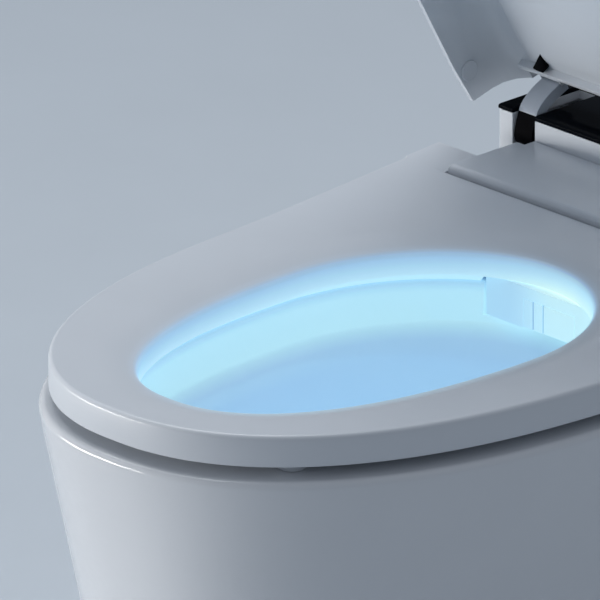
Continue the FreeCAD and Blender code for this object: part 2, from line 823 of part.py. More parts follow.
def raised():
    """The turn from the shut lid to the raised one, about the hinge line."""
    axis = Vector(0, value("hinge_y"), value("hinge_z"))
    return Placement(Vector(), Rotation(Vector(1, 0, 0), -value("lid_open_angle")), axis)


def lid_solid(grow, low, high, radius, back):
    """The lid's form shut, with its top edge rounded."""
    rings = [(low, grow)]
    for step in range(LID_ROUND_STEPS + 1):
        angle = math.pi / 2 * step / LID_ROUND_STEPS
        rings.append((high - radius * (1 - math.sin(angle)), grow - radius * (1 - math.cos(angle))))
    return loft([plan_wire(z, side, side, back) for z, side in rings])


def lid_outer_shell():
    """The deep outer shell of the lid, with hollow ears beside the rear housing and a rear wall between."""
    over = value("overrun")
    outer = value("lid_clearance + lid_wall - seat_setback")
    inner = outer - value("lid_wall")
    crown, round_in = value("lid_crown"), value("lid_hollow_radius")
    back = value("lid_ear_reach + lid_ear_lean")
    shape = lid_solid(outer, value("lid_bottom"), value("lid_top"), crown, back)
    wall_front = value("lid_panel_back - lid_rear_wall")
    room = lid_solid(inner, value("lid_bottom") - over, value("lid_ceiling"), round_in, wall_front)
    shape = shape.cut(room)
    low, high = value("lid_bottom"), value("lid_top")
    far, side = back + over, value("rim_rear_half + overrun")
    lean = [Vector(-side, value("lid_ear_reach"), low - over), Vector(-side, value("lid_ear_reach"), low),
            Vector(-side, back, high), Vector(-side, back, high + over),
            Vector(-side, far, high + over), Vector(-side, far, low - over)]
    slant = Part.Face(Part.makePolygon(lean + lean[:1])).extrude(Vector(2 * side, 0, 0))
    ear = "box_half + slot_clearance"
    behind = solid_box((f"-({ear})", ear), ("lid_panel_back", "lid_ear_reach + lid_ear_lean + overrun"),
                       ("lid_bottom - overrun", "lid_top + overrun"))
    below = solid_box((f"-({ear})", ear),
                      ("lid_panel_back - lid_rear_wall - overrun", "box_front + slot_depth"),
                      ("lid_bottom - overrun", "lid_lip"))
    beside = mirrored(solid_box((ear, "rim_rear_half"),
                                ("lid_panel_back - lid_rear_wall - overrun", "hinge_y"),
                                ("lid_bottom - overrun", "lid_top")))
    hollow = lid_solid(inner, low - over, value("lid_ceiling"), round_in, far)
    sockets = mirrored(solid_box(("arm_inner - sliding_fit", "arm_outer + sliding_fit"),
                                 ("lid_panel_back - lid_rear_wall / 2", "lid_panel_back + overrun"),
                                 ("lid_bottom - overrun", "lid_ceiling")))
    bosses = mirrored(solid_box(("arm_inner - slot_clearance / 2", "arm_outer + slot_clearance / 2"),
                                ("lid_ear_reach - slot_depth", "hinge_y"),
                                ("lid_bottom", "lid_top + overrun")))
    sweep = Part.makeCylinder(value("hinge_sweep"), value(f"2 * ({ear})"),
                              Vector(-value(ear), value("hinge_y"), value("hinge_z")), Vector(1, 0, 0))
    ears = [hollow.common(side) for side in beside.Solids]
    shape = shape.cut([slant, behind, below, sweep.cut(bosses.Solids)] + ears + sockets.Solids)
    return feature("lid_outer_shell", shape, raised())


def lid_inner_liner():
    """The flat liner inside the lid."""
    grow = value("lid_clearance - seat_setback - liner_margin")
    back = value("lid_panel_back - lid_rear_wall - sliding_fit")
    plate = loft([plan_wire(z, grow, grow, back) for z in (value("liner_bottom"), value("lid_ceiling"))])
    return feature("lid_inner_liner", plate, raised())


def lid_bumpers():
    """The pads that the lid lands on: two at its front, and one on the inside of each ear."""
    radius = value("lid_pad_radius")
    pads = []
    for across, along in LID_PAD_SHARES:
        spot = Vector(across * value("rim_mid_half"), value("nose_y") + along * value("nose_length"),
                      value("seat_top + sliding_fit"))
        pads.append(Part.makeCylinder(radius, value("liner_bottom") - spot.z, spot))
    inside = value("rim_rear_half - seat_setback + lid_clearance")
    depth = value("lid_clearance")
    spot = Vector(inside - depth, value("lid_ear_reach") - 3 * radius, value("lid_bottom") + radius + depth)
    pads.append(Part.makeCylinder(radius, depth, spot, Vector(1, 0, 0)))
    solids = [solid for shape in pads for solid in mirrored(shape).Solids]
    return feature("lid_bumpers", Part.makeCompound(solids), raised())


def neck_band(first, last):
    """A stretch of the gooseneck's side view, as a face on the middle plane."""
    reach, half = value("arm_reach"), value("arm_thickness") / 2
    axis = Vector(0, value("hinge_y"), value("hinge_z"))
    spots = [axis + Vector(0, along * reach, up * reach) for along, up in NECK_SHARES]
    ways = [spots[min(i + 1, len(spots) - 1)] - spots[max(i - 1, 0)] for i in range(len(spots))]
    sides = []
    for sign in (1, -1):
        shifted = [spot + Vector(0, -way.z, way.y).normalize() * sign * half
                   for spot, way in zip(spots, ways)]
        curve = Part.BSplineCurve()
        curve.interpolate(shifted[first:last], InitialTangent=ways[first], FinalTangent=ways[last - 1])
        sides.append(curve)
    ends = [(curve.StartPoint, curve.EndPoint) for curve in sides]
    edges = [sides[0].toShape(), Part.makeLine(ends[0][1], ends[1][1]),
             sides[1].toShape(), Part.makeLine(ends[0][0], ends[1][0])]
    return Part.Face(Part.Wire(Part.__sortEdges__(edges)))


def lid_necks():
    """Both goosenecks: a black bracket on the hinge shaft, and a pale arm up to the lid."""
    width = value("arm_width")
    axis = Vector(0, value("hinge_y"), value("hinge_z"))
    across = Vector(width, 0, 0)
    hub = Part.makeCylinder(value("hub_radius"), width, axis, Vector(1, 0, 0))
    bore = Part.makeCylinder(value("shaft_radius + running_fit"), width, axis, Vector(1, 0, 0))
    bracket = hub.fuse(neck_band(0, NECK_BRACKET_POINTS).extrude(across)).cut(bore)
    arm = neck_band(NECK_BRACKET_POINTS - 1, len(NECK_SHARES)).extrude(across)
    things = []
    for side, start in (("right", value("arm_inner")), ("left", -value("arm_outer"))):
        for name, shape in (("neck_bracket", bracket), ("lid_arm", arm)):
            place = raised().multiply(Placement(Vector(start, 0, 0), Rotation()))
            things.append(feature(f"{name}_{side}", shape, place))
    return things


def lid_drive_shaft():
    """The shaft along the hinge line that the drive turns."""
    return rod("lid_drive_shaft", "X", ("-shaft_half", "hinge_y", "hinge_z"), "shaft_radius",
               "2 * shaft_half")


def lid_drive_motor():
    """The geared motor round the hinge shaft, against the right bearing."""
    start = "chassis_half - bearing_width - motor_length"
    case = rod("lid_motor_case", "X", (start, "hinge_y", "hinge_z"), "motor_radius", "motor_length")
    bore = rod("lid_motor_bore", "X", (f"{start} - overrun", "hinge_y", "hinge_z"),
               "shaft_radius + sliding_fit", "motor_length + 2 * overrun")
    return cut("lid_drive_motor", case, bore)


def lid_balance_spring():
    """The close-wound torsion spring on the hinge shaft that balances the lid."""
    inner, outer, floor = "shaft_radius", "balance_radius", "balance_radius - balance_groove"
    points = [(inner, "0"), (outer, "0")]
    coils = round(value("balance_length / balance_coil"))
    for coil in range(1, coils):
        seam = f"{coil} * balance_length / {coils}"
        points += [(outer, f"{seam} - balance_groove"), (floor, seam), (outer, f"{seam} + balance_groove")]
    points += [(outer, "balance_length"), (inner, "balance_length")]
    spring = turned("lid_balance_spring", points)
    spring.Placement = Placement(Vector(), TURNS["X"])
    return bind(spring, Placement__Base__x="-chassis_half + bearing_width + slot_clearance",
                Placement__Base__y="hinge_y", Placement__Base__z="hinge_z")


def hinge_bearings():
    """The two blocks on the chassis that carry the hinge shaft."""
    depth = ("hinge_y - bearing_depth / 2", "hinge_y + bearing_depth / 2")
    height = ("deck_top", "hinge_z + shaft_radius + bearing_cover")
    right = block("bearing_right", ("chassis_half - bearing_width", "chassis_half"), depth, height)
    left = block("bearing_left", ("-chassis_half", "-chassis_half + bearing_width"), depth, height)
    bore = rod("bearing_bore", "X", ("-shaft_half", "hinge_y", "hinge_z"), "shaft_radius + running_fit",
               "2 * shaft_half")
    return cut("hinge_bearings", fuse("bearing_blocks", right, left), bore)


# Chassis and inner parts

def chassis_tray():
    """The tray that hangs in the pedestal's well and carries the inner parts."""
    body = doc.addObject("PartDesign::Body", "chassis_plates")
    pad(body, "XY_Plane", rectangle("-chassis_half", "chassis_half", "chassis_front", "chassis_back"),
        "rim_height", "chassis_thickness")
    pad(body, "XY_Plane", rectangle("-well_half", "well_half", "well_front", "well_back"),
        "well_floor", "rim_height - well_floor")
    wall = "chassis_thickness"
    room = block("chassis_room", (f"-well_half + {wall}", f"well_half - {wall}"),
                 (f"well_front + {wall}", f"well_back - {wall}"), ("tray_floor", "deck_top + overrun"))
    path = block("chassis_path", ("-guide_half - duct_width", "guide_half + duct_width"),
                 ("chassis_front - overrun", "well_front + chassis_thickness + overrun"),
                 ("rim_height - window_drop", "deck_top + overrun"))
    inlet = rod("chassis_inlet", "Y", ("-inlet_x", "well_back - chassis_thickness - overrun", "inlet_height"),
                "inlet_radius + inlet_shoulder + sliding_fit", "chassis_thickness + 2 * overrun")
    gland = rod("chassis_gland", "Y", ("gland_x", "well_back - chassis_thickness - overrun", "inlet_height"),
                "gland_radius + sliding_fit", "chassis_thickness + 2 * overrun")
    return cut("chassis_tray", body, room, path, inlet, gland)


def inclined(thing):
    """Sets a piece of the nozzle group at the mouth, on the nozzles' slope."""
    thing.Placement = Placement(Vector(), Rotation(Vector(1, 0, 0), value("nozzle_angle")))
    return bind(thing, Placement__Base__y="mouth_y", Placement__Base__z="mouth_z",
                Placement__Rotation__Angle="nozzle_angle")


def nozzle_guide():
    """The block with two bores that the wash wands slide in."""
    case = block("guide_case", ("-guide_half", "guide_half"), ("0", "guide_length"),
                 ("-guide_height / 2", "guide_height / 2"))
    bores = [rod(f"guide_bore_{side}", "Y", (f"{sign} * wand_pitch / 2", "-overrun", "0"),
                 "wand_radius + sliding_fit", "guide_length + 2 * overrun")
             for side, sign in (("right", 1), ("left", -1))]
    return inclined(cut("nozzle_guide", case, *bores))


def wash_wand(label, sign):
    """A tube with a rounded tip and a jet that points up."""
    x = f"{sign} * wand_pitch / 2"
    stem = rod(label + "_stem", "Y", (x, "wand_tip / 2", "0"), "wand_radius", "wand_length - wand_tip / 2")
    tip = doc.addObject("Part::Sphere", label + "_tip")
    bind(tip, Radius="wand_radius", Placement__Base__x=x, Placement__Base__y="wand_tip / 2")
    jet = rod(label + "_jet", "Z", (x, "wand_tip / 2", "0"), "jet_radius", "wand_radius + overrun")
    return inclined(cut(label, fuse(label + "_tube", stem, tip), jet))


def air_duct(label, sign):
    """A square duct beside the nozzle guide, with louvres across its mouth."""
    inner, outer = "guide_half", "guide_half + duct_width"
    width = (inner, outer) if sign > 0 else (f"-({outer})", f"-({inner})")
    height = ("-duct_height / 2", "duct_height / 2")
    case = block(label + "_case", width, ("0", "duct_length"), height)
    room = block(label + "_room", (f"{width[0]} + duct_wall", f"{width[1]} - duct_wall"),
                 ("duct_wall", "duct_length + overrun"),
                 ("-duct_height / 2 + duct_wall", "duct_height / 2 - duct_wall"))
    span = (f"{width[0]} + 2 * duct_wall", f"{width[1]} - 2 * duct_wall")
    slots = [block(f"{label}_slot_{row}", span, ("-overrun", "duct_wall + overrun"),
                   (f"({2 * row - 2.5}) * vent_slot", f"({2 * row - 1.5}) * vent_slot")) for row in range(3)]
    return inclined(cut(label, case, room, *slots))


def nozzle_motors():
    """The two small motors under the guide that drive the wands."""
    motors = []
    for side, sign in (("right", 1), ("left", -1)):
        spot = (f"{sign} * wand_pitch / 2", "guide_length - nozzle_motor_radius * 4",
                "-guide_height / 2 - nozzle_motor_length")
        motors.append(rod(f"nozzle_motor_{side}", "Z", spot, "nozzle_motor_radius", "nozzle_motor_length"))
    return inclined(fuse("nozzle_motors", *motors))


def fan_housing(label, x, radius, height):
    """A round fan housing on the tray's floor, with its inlet on top."""
    case = rod(label + "_case", "Z", (x, "fan_y", "fan_bottom"), radius, height)
    room = rod(label + "_room", "Z", (x, "fan_y", "fan_bottom + fan_wall"), f"{radius} - fan_wall",
               f"{height} - 2 * fan_wall")
    inlet = rod(label + "_inlet", "Z", (x, "fan_y", f"fan_bottom + {height} - fan_wall - overrun"),
                f"fan_inlet_radius * {radius} / fan_radius", "fan_wall + 2 * overrun")
    return cut(label, case, room, inlet)


def fan_impeller(label, x, radius, height):
    """A wheel with a ring of blades that turns in a fan housing."""
    inner = "impeller_hub_radius"
    rise = f"({height} - 4 * fan_wall)"
    wheel = turned(label + "_wheel", [("0", "0"), (radius, "0"), (radius, "impeller_base"),
                                      (inner, "impeller_base"), (inner, f"{rise} / 2"), ("0", f"{rise} / 2")])
    plan = rectangle(f"{radius} * blade_start_share", radius, "-blade_thickness / 2", "blade_thickness / 2")
    blade = pad(wheel, "XY_Plane", plan, "impeller_base / 2", f"{rise} - impeller_base / 2")
    doc.recompute()
    ring = wheel.newObject("PartDesign::PolarPattern", label + "_blades")
    ring.Originals = [blade]
    ring.Axis = (next(item for item in wheel.Origin.OriginFeatures if item.Role == "Z_Axis"), [""])
    ring.Angle = 360
    bind(ring, Occurrences="blade_count")
    wheel.Tip = ring
    wheel.Label = label
    return bind(wheel, Placement__Base__x=x, Placement__Base__y="fan_y",
                Placement__Base__z="fan_bottom + fan_wall + sliding_fit")


def fan_motor(label, x, radius, height):
    """The motor on a fan's inlet bridge, with its shaft down to the wheel."""
    top = f"fan_bottom + {height}"
    seat = f"fan_inlet_radius * {radius} / fan_radius"
    half = "fan_motor_radius * fan_bridge_share"
    bridge = block(label + "_bridge", (f"{x} - {seat} - fan_wall", f"{x} + {seat} + fan_wall"),
                   (f"fan_y - {half}", f"fan_y + {half}"), (top, f"{top} + fan_wall"))
    case = rod(label + "_case", "Z", (x, "fan_y", top), "fan_motor_radius * fan_motor_share",
               "fan_motor_height")
    low = f"fan_bottom + fan_wall + 2 * sliding_fit + ({height} - 4 * fan_wall) / 2"
    shaft = rod(label + "_shaft", "Z", (x, "fan_y", low), "shaft_radius / 2", f"{height} / 2 + fan_wall")
    return fuse(label, bridge, case, shaft)


def water_heater():
    """The instant heater: a finned block on the tray's floor."""
    front, top = "well_front + 2 * chassis_thickness", "tray_floor + heater_height"
    case = block("heater_case", ("-heater_width / 2", "heater_width / 2"), (front, f"{front} + heater_depth"),
                 ("tray_floor", top))
    spouts = []
    for side, sign in (("right", 1), ("left", -1)):
        spot = (f"{sign} * heater_width * heater_spout_share", f"{front} + heater_depth / 2", top)
        spouts.append(rod(f"heater_spout_{side}", "Z", spot, "inlet_bore", "2 * inlet_bore"))
    return fuse("water_heater", case, *spouts)


def water_pump():
    """The pump: a motor with a wider head, on its foot."""
    z = "tray_floor + pump_radius"
    start = ("-pump_length / 2", "pump_y", z)
    motor = rod("pump_motor", "X", start, "pump_radius * pump_motor_share", "pump_length")
    head = rod("pump_head", "X", start, "pump_radius", "pump_length * pump_head_share")
    foot = block("pump_foot", ("-pump_length / 2", "pump_length / 2"),
                 ("pump_y - pump_radius / 2", "pump_y + pump_radius / 2"),
                 ("tray_floor", "tray_floor + pump_radius / 2"))
    return fuse("water_pump", motor, head, foot)


def flush_valves():
    """The valve block with a coil for the flush and one for the wash."""
    y = "(well_front + 2 * chassis_thickness + heater_depth + pump_y - pump_radius) / 2"
    top = "tray_floor + valve_height"
    case = block("valve_case", ("-valve_width / 2", "valve_width / 2"),
                 (f"{y} - valve_depth / 2", f"{y} + valve_depth / 2"), ("tray_floor", top))
    coils = [rod(f"valve_coil_{side}", "Z", (f"{sign} * valve_width / 4", y, top), "coil_radius",
                 "coil_height") for side, sign in (("right", 1), ("left", -1))]
    return fuse("flush_valves", case, *coils)


def power_supply():
    """The power supply, upright against the tray's rear wall."""
    back, side = "well_back - chassis_thickness", "well_half - chassis_thickness"
    low = "inlet_height + gland_radius * 2"
    return block("power_supply", (f"{side} - supply_width", side), (f"{back} - supply_depth", back),
                 (low, f"{low} + supply_height"))


def filter_cartridge():
    """The carbon filter on the deodoriser's inlet side."""
    left = "-well_half + chassis_thickness"
    return block("filter_cartridge", (left, f"{left} + filter_width"),
                 ("well_front + chassis_thickness", "well_front + chassis_thickness + filter_depth"),
                 ("tray_floor", "tray_floor + filter_height"))


def control_board():
    """The circuit board under the housing's top, with its spacers and larger chips."""
    low = "box_ceiling - board_drop"
    back = "back_y - 3 * box_wall"
    plate = block("board_plate", ("-board_width / 2", "board_width / 2"), (f"{back} - board_depth", back),
                  (low, f"{low} + board_thickness"))
    pieces = [plate]
    for number, (across, along) in enumerate(((-1, 0), (1, 0), (-1, 1), (1, 1))):
        spot = (f"{across} * (board_width / 2 - screw_head_radius)",
                f"{back} - screw_head_radius - {along} * (board_depth - 2 * screw_head_radius)", low)
        pieces.append(rod(f"board_spacer_{number}", "Z", spot, "screw_radius", "board_drop"))
        chip = f"{number - 2} * chip_size * chip_pitch_share"
        pieces.append(block(f"board_chip_{number}", (chip, f"{chip} + chip_size"),
                            (f"{back} - board_depth / 2", f"{back} - board_depth / 2 + chip_size"),
                            (f"{low} - chip_height", low)))
    return fuse("control_board", *pieces)


def night_light_lens():
    """The light bar over the mouths of the nozzle group."""
    half = "guide_half + duct_width"
    low = "mouth_z + guide_height / 2 / cos(nozzle_angle) + light_depth * tan(nozzle_angle)"
    return block("night_light_lens", (f"-({half})", half), ("mouth_y", "mouth_y + light_depth"),
                 (low, "seat_bottom - well_margin"))


def water_inlet():
    """The supply spigot with a relieved shoulder in the tray's rear wall and its flange inside."""
    groove, shoulder = "inlet_radius - inlet_shoulder", "inlet_radius + inlet_shoulder"
    seat = "inlet_length + inlet_relief"
    neck = f"{seat} + chassis_thickness"
    end = f"{neck} + chassis_thickness"
    spigot = turned("water_inlet", [("inlet_bore", "0"), ("inlet_radius", "0"),
                                    ("inlet_radius", "inlet_length"), (groove, "inlet_length"),
                                    (groove, seat), (shoulder, seat), (shoulder, neck),
                                    ("inlet_flange_radius", neck), ("inlet_flange_radius", end),
                                    ("inlet_bore", end)])
    spigot.Placement = Placement(Vector(), Rotation(Vector(1, 0, 0), 90))
    return bind(spigot, Placement__Base__x="-inlet_x", Placement__Base__y=f"well_back + {seat}",
                Placement__Base__z="inlet_height")


def cable_gland():
    """The gland for the supply cable, in the tray's rear wall."""
    end = "gland_length + chassis_thickness"
    gland = turned("cable_gland", [("gland_radius / 2", "0"), ("gland_radius * gland_nose_share", "0"),
                                   ("gland_radius", "gland_length"), ("gland_radius", end),
                                   ("gland_radius / 2", end)])
    gland.Placement = Placement(Vector(), Rotation(Vector(1, 0, 0), 90))
    return bind(gland, Placement__Base__x="gland_x", Placement__Base__y="well_back + gland_length",
                Placement__Base__z="inlet_height")


def chassis_screws():
    """Four screws from the chassis into the pedestal's deck."""
    screws = []
    for number, (side, row) in enumerate(((1, 0), (-1, 0), (1, 1), (-1, 1))):
        run = "(chassis_back - chassis_front - 5 * screw_head_radius)"
        spot = (f"{side} * (chassis_half - 2 * screw_head_radius)",
                f"chassis_front + 4 * screw_head_radius + {row} * {run}")
        screws.append(rod(f"screw_head_{number}", "Z", (*spot, "deck_top"), "screw_head_radius",
                          "screw_head"))
    return fuse("chassis_screws", *screws)


# Side knob

def on_side(body, start):
    """Stands a turned piece on the housing's left side, pointing out."""
    body.Placement = Placement(Vector(), Rotation(Vector(0, 1, 0), -90))
    return bind(body, Placement__Base__x=f"-box_half - ({start})", Placement__Base__y="knob_y",
                Placement__Base__z="knob_z")


def knob_base():
    """The fixed flange and hollow spindle of the side knob."""
    height = "knob_base_length + knob_length - button_proud"
    bore = "button_radius + sliding_fit"
    return on_side(turned("knob_base", [("0", "0"), ("knob_base_radius", "0"),
                                        ("knob_base_radius", "knob_base_length"),
                                        ("spindle_radius", "knob_base_length"), ("spindle_radius", height),
                                        (bore, height), (bore, "knob_base_length / 2"),
                                        ("0", "knob_base_length / 2")]), "0")


def knob_dial():
    """The dial that turns on the spindle, with a gripped edge."""
    dial = turned("knob_dial", [("spindle_radius + running_fit", "0"), ("knob_radius", "0"),
                                ("knob_radius", "knob_length * dial_side_share"),
                                ("knob_radius * dial_face_share", "knob_length"),
                                ("spindle_radius + running_fit", "knob_length")])
    grip = dial.newObject("PartDesign::Pocket", "knob_grip")
    half = "knob_radius * grip_half_share"
    plan = rectangle("knob_radius * grip_floor_share", "knob_radius + overrun", f"-{half}", half)
    grip.Profile = sketch(dial, "XY_Plane", plan)
    grip.Reversed = True
    bind(grip, Length="knob_length * dial_side_share")
    doc.recompute()
    ring = dial.newObject("PartDesign::PolarPattern", "knob_grips")
    ring.Originals = [grip]
    ring.Axis = (next(item for item in dial.Origin.OriginFeatures if item.Role == "Z_Axis"), [""])
    ring.Angle = 360
    bind(ring, Occurrences="grip_count")
    dial.Tip = ring
    return on_side(dial, "knob_base_length + sliding_fit")


def knob_button():
    """The button in the knob's middle."""
    return on_side(turned("knob_button", [("0", "0"), ("button_radius", "0"),
                                          ("button_radius", "knob_length - knob_base_length / 2"),
                                          ("button_radius * button_face_share", "knob_length"),
                                          ("0", "knob_length")]), "knob_base_length / 2 + knob_base_length")


def build():
    """Makes every piece and returns them."""
    pieces = [ceramic_pedestal(), outlet_seal(), access_caps(), seat_upper_shell(), seat_lower_shell(),
              seat_heater(), seat_bumpers(), seat_hinge_pins(), front_cover(), rear_housing(),
              glass_top_panel(), display_board(), lid_outer_shell(), lid_inner_liner(), lid_bumpers(),
              lid_drive_shaft(), lid_balance_spring(), lid_drive_motor(), hinge_bearings(), chassis_tray(),
              chassis_screws(), nozzle_guide(),
              wash_wand("rear_wash_wand", 1), wash_wand("front_wash_wand", -1), nozzle_motors(),
              air_duct("dryer_duct", 1), air_duct("air_intake_duct", -1)]
    pieces += lid_necks()
    fans = (("dryer", "fan_x", "fan_radius", "impeller_radius", "fan_height"),
            ("deodoriser", "-air_fan_x", "air_fan_radius", "air_impeller_radius", "air_fan_height"))
    for name, x, radius, wheel, height in fans:
        pieces += [fan_housing(name + "_housing", x, radius, height),
                   fan_impeller(name + "_impeller", x, wheel, height),
                   fan_motor(name + "_motor", x, radius, height)]
    pieces += [water_heater(), water_pump(), flush_valves(), power_supply(), filter_cartridge(),
               control_board(), night_light_lens(), water_inlet(), cable_gland(), knob_base(), knob_dial(),
               knob_button()]
    return pieces


def check(pieces):
    """Stops if any object failed or any piece isn't a sound shape."""
    failed = [thing.Name for thing in doc.Objects if {"Invalid", "Error"} & set(thing.State)]
    unsound = [piece.Label for piece in pieces if piece.Shape.isNull() or not piece.Shape.isValid()]
    if failed or unsound:
        raise RuntimeError(f"failed objects {failed}, unsound pieces {unsound}")


def write(pieces):
    """Writes each piece to a file with its label's name."""
    os.makedirs("parts", exist_ok=True)
    for piece in pieces:
        piece.Shape.exportStep(f"parts/{piece.Label}.step")


PIECES = build()
doc.recompute()
check(PIECES)
write(PIECES)
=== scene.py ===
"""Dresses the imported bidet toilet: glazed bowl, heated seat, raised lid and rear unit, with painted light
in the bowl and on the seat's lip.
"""

from __future__ import annotations

import json
import logging
import math
from dataclasses import dataclass
from enum import Enum
from typing import Iterable, Sequence

import bmesh
import bpy
from mathutils import Matrix, Vector


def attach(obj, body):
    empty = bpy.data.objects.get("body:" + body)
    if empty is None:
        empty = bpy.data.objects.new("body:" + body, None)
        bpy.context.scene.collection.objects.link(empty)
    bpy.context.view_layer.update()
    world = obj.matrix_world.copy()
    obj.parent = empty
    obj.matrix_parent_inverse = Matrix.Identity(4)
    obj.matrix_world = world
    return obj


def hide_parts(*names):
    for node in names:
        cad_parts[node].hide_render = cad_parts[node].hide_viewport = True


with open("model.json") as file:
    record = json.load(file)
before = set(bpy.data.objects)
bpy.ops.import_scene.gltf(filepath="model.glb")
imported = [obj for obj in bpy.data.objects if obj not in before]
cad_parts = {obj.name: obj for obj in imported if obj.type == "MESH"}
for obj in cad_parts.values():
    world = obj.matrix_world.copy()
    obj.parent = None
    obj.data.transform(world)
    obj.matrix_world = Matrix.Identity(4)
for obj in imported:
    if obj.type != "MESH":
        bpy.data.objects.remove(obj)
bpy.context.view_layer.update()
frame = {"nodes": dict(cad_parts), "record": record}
LOG = logging.getLogger("bidet_toilet")

Mesh = bmesh.types.BMesh
Edges = list[bmesh.types.BMEdge]
Socket = bpy.types.NodeSocket
Span = tuple[float, float]
Colour = tuple[float, float, float]
Outline = list[Span]
Ring = list[Vector]
# Radius and segments of a rounded edge.
Round = tuple[float, int]

ACROSS, ALONG, UP = Vector((1, 0, 0)), Vector((0, 1, 0)), Vector((0, 0, 1))
GLOW = "glow"
STATION = "station"
# Levels of the glow attribute: a weak light, which has the deep colour, and the brightest.
WEAK_LEVEL, TOP_LEVEL = 0.6, 1.5
# The part of a noise's range that is used, and the scale per metre and octaves of each noise.
PATCHES = (0.3, 0.7)
TINT_NOISE, GLOSS_NOISE, RELIEF_OCTAVES = (9.0, 3.0), (26.0, 4.0), 2.0
COAT_ROUGHNESS = 0.04
# What common plastic's index of refraction adds to that of air.
PLASTIC = 0.48
# Edges that turn by more degrees stay sharp.
SHARP_ANGLE = 35.0
# Spots closer than this are one.
NEAR = 1e-6
# The least length that a leg of a path counts as.
SHORTEST = 1e-9


class Side(Enum):
    """Right and left as seen from the front, +X and -X."""

    RIGHT = 1
    LEFT = -1


class Grain(Enum):
    """How a surface's fine relief runs: scale per metre and depth in metres."""

    GLAZE = (140.0, 0.00012)
    MOULDED = (2600.0, 0.000015)
    SPARK = (1500.0, 0.00006)
    SMOOTH = (300.0, 0.00001)
    BRUSHED = (900.0, 0.00002)


class Shading:
    """The nodes of one material: its shader, and patterns in the object's own coordinates."""

    def __init__(self, material: bpy.types.Material) -> None:
        """Finds a new material's shader and adds the coordinates.

        Args:
            material: The material.
        """
        material.use_nodes = True
        self.tree = material.node_tree
        self.shader = self.tree.nodes["Principled BSDF"]
        self.place = self.add("TexCoord", {}).outputs["Object"]

    def fill(self, node: bpy.types.Node, inputs: dict[str | int, float | Socket]) -> None:
        """Sets some of a node's inputs.

        Args:
            node: The node.
            inputs: A value or another node's output for each of these inputs.
        """
        for name, source in inputs.items():
            if isinstance(source, Socket):
                self.tree.links.new(source, node.inputs[name])
            else:
                node.inputs[name].default_value = source

    def add(self, kind: str, inputs: dict[str | int, float | Socket], **settings: str) -> bpy.types.Node:
        """Adds a node.

        Args:
            kind: The end of its type's name.
            inputs: A value or another node's output for some of its inputs.
            settings: Its other settings.

        Returns:
            The new node.
        """
        node = self.tree.nodes.new("ShaderNode" + kind)
        for name, value in settings.items():
            setattr(node, name, value)
        self.fill(node, inputs)
        return node

    def noise(self, scale: float, detail: float) -> Socket:
        """A noise pattern of a scale per metre and a number of octaves."""
        return self.add("TexNoise", {"Vector": self.place, "Scale": scale, "Detail": detail}).outputs["Fac"]

    def ramp(self, value: Socket, stops: Sequence[tuple[float, Colour]]) -> Socket:
        """Turns a value into a colour.

        Args:
            value: The value.
            stops: Place and colour of each stop, in order.

        Returns:
            The colour.
        """
        node = self.add("ValToRGB", {"Fac": value})
        elements = node.color_ramp.elements
        elements[0].position, elements[1].position = stops[0][0], stops[-1][0]
        for place, _ in stops[1:-1]:
            elements.new(place)
        for element, (_, colour) in zip(elements, stops):
            element.color = (*colour, 1.0)
        return node.outputs["Color"]


# Painted light on the glaze and the white plastic, which are no lamps, and the lens's own light.
@dataclass(frozen=True)
class Glow:
    """Light that a surface gives off: its linear colours where weak, full and stronger, and its strength."""

    deep: Colour
    pale: Colour
    bright: Colour
    strength: float


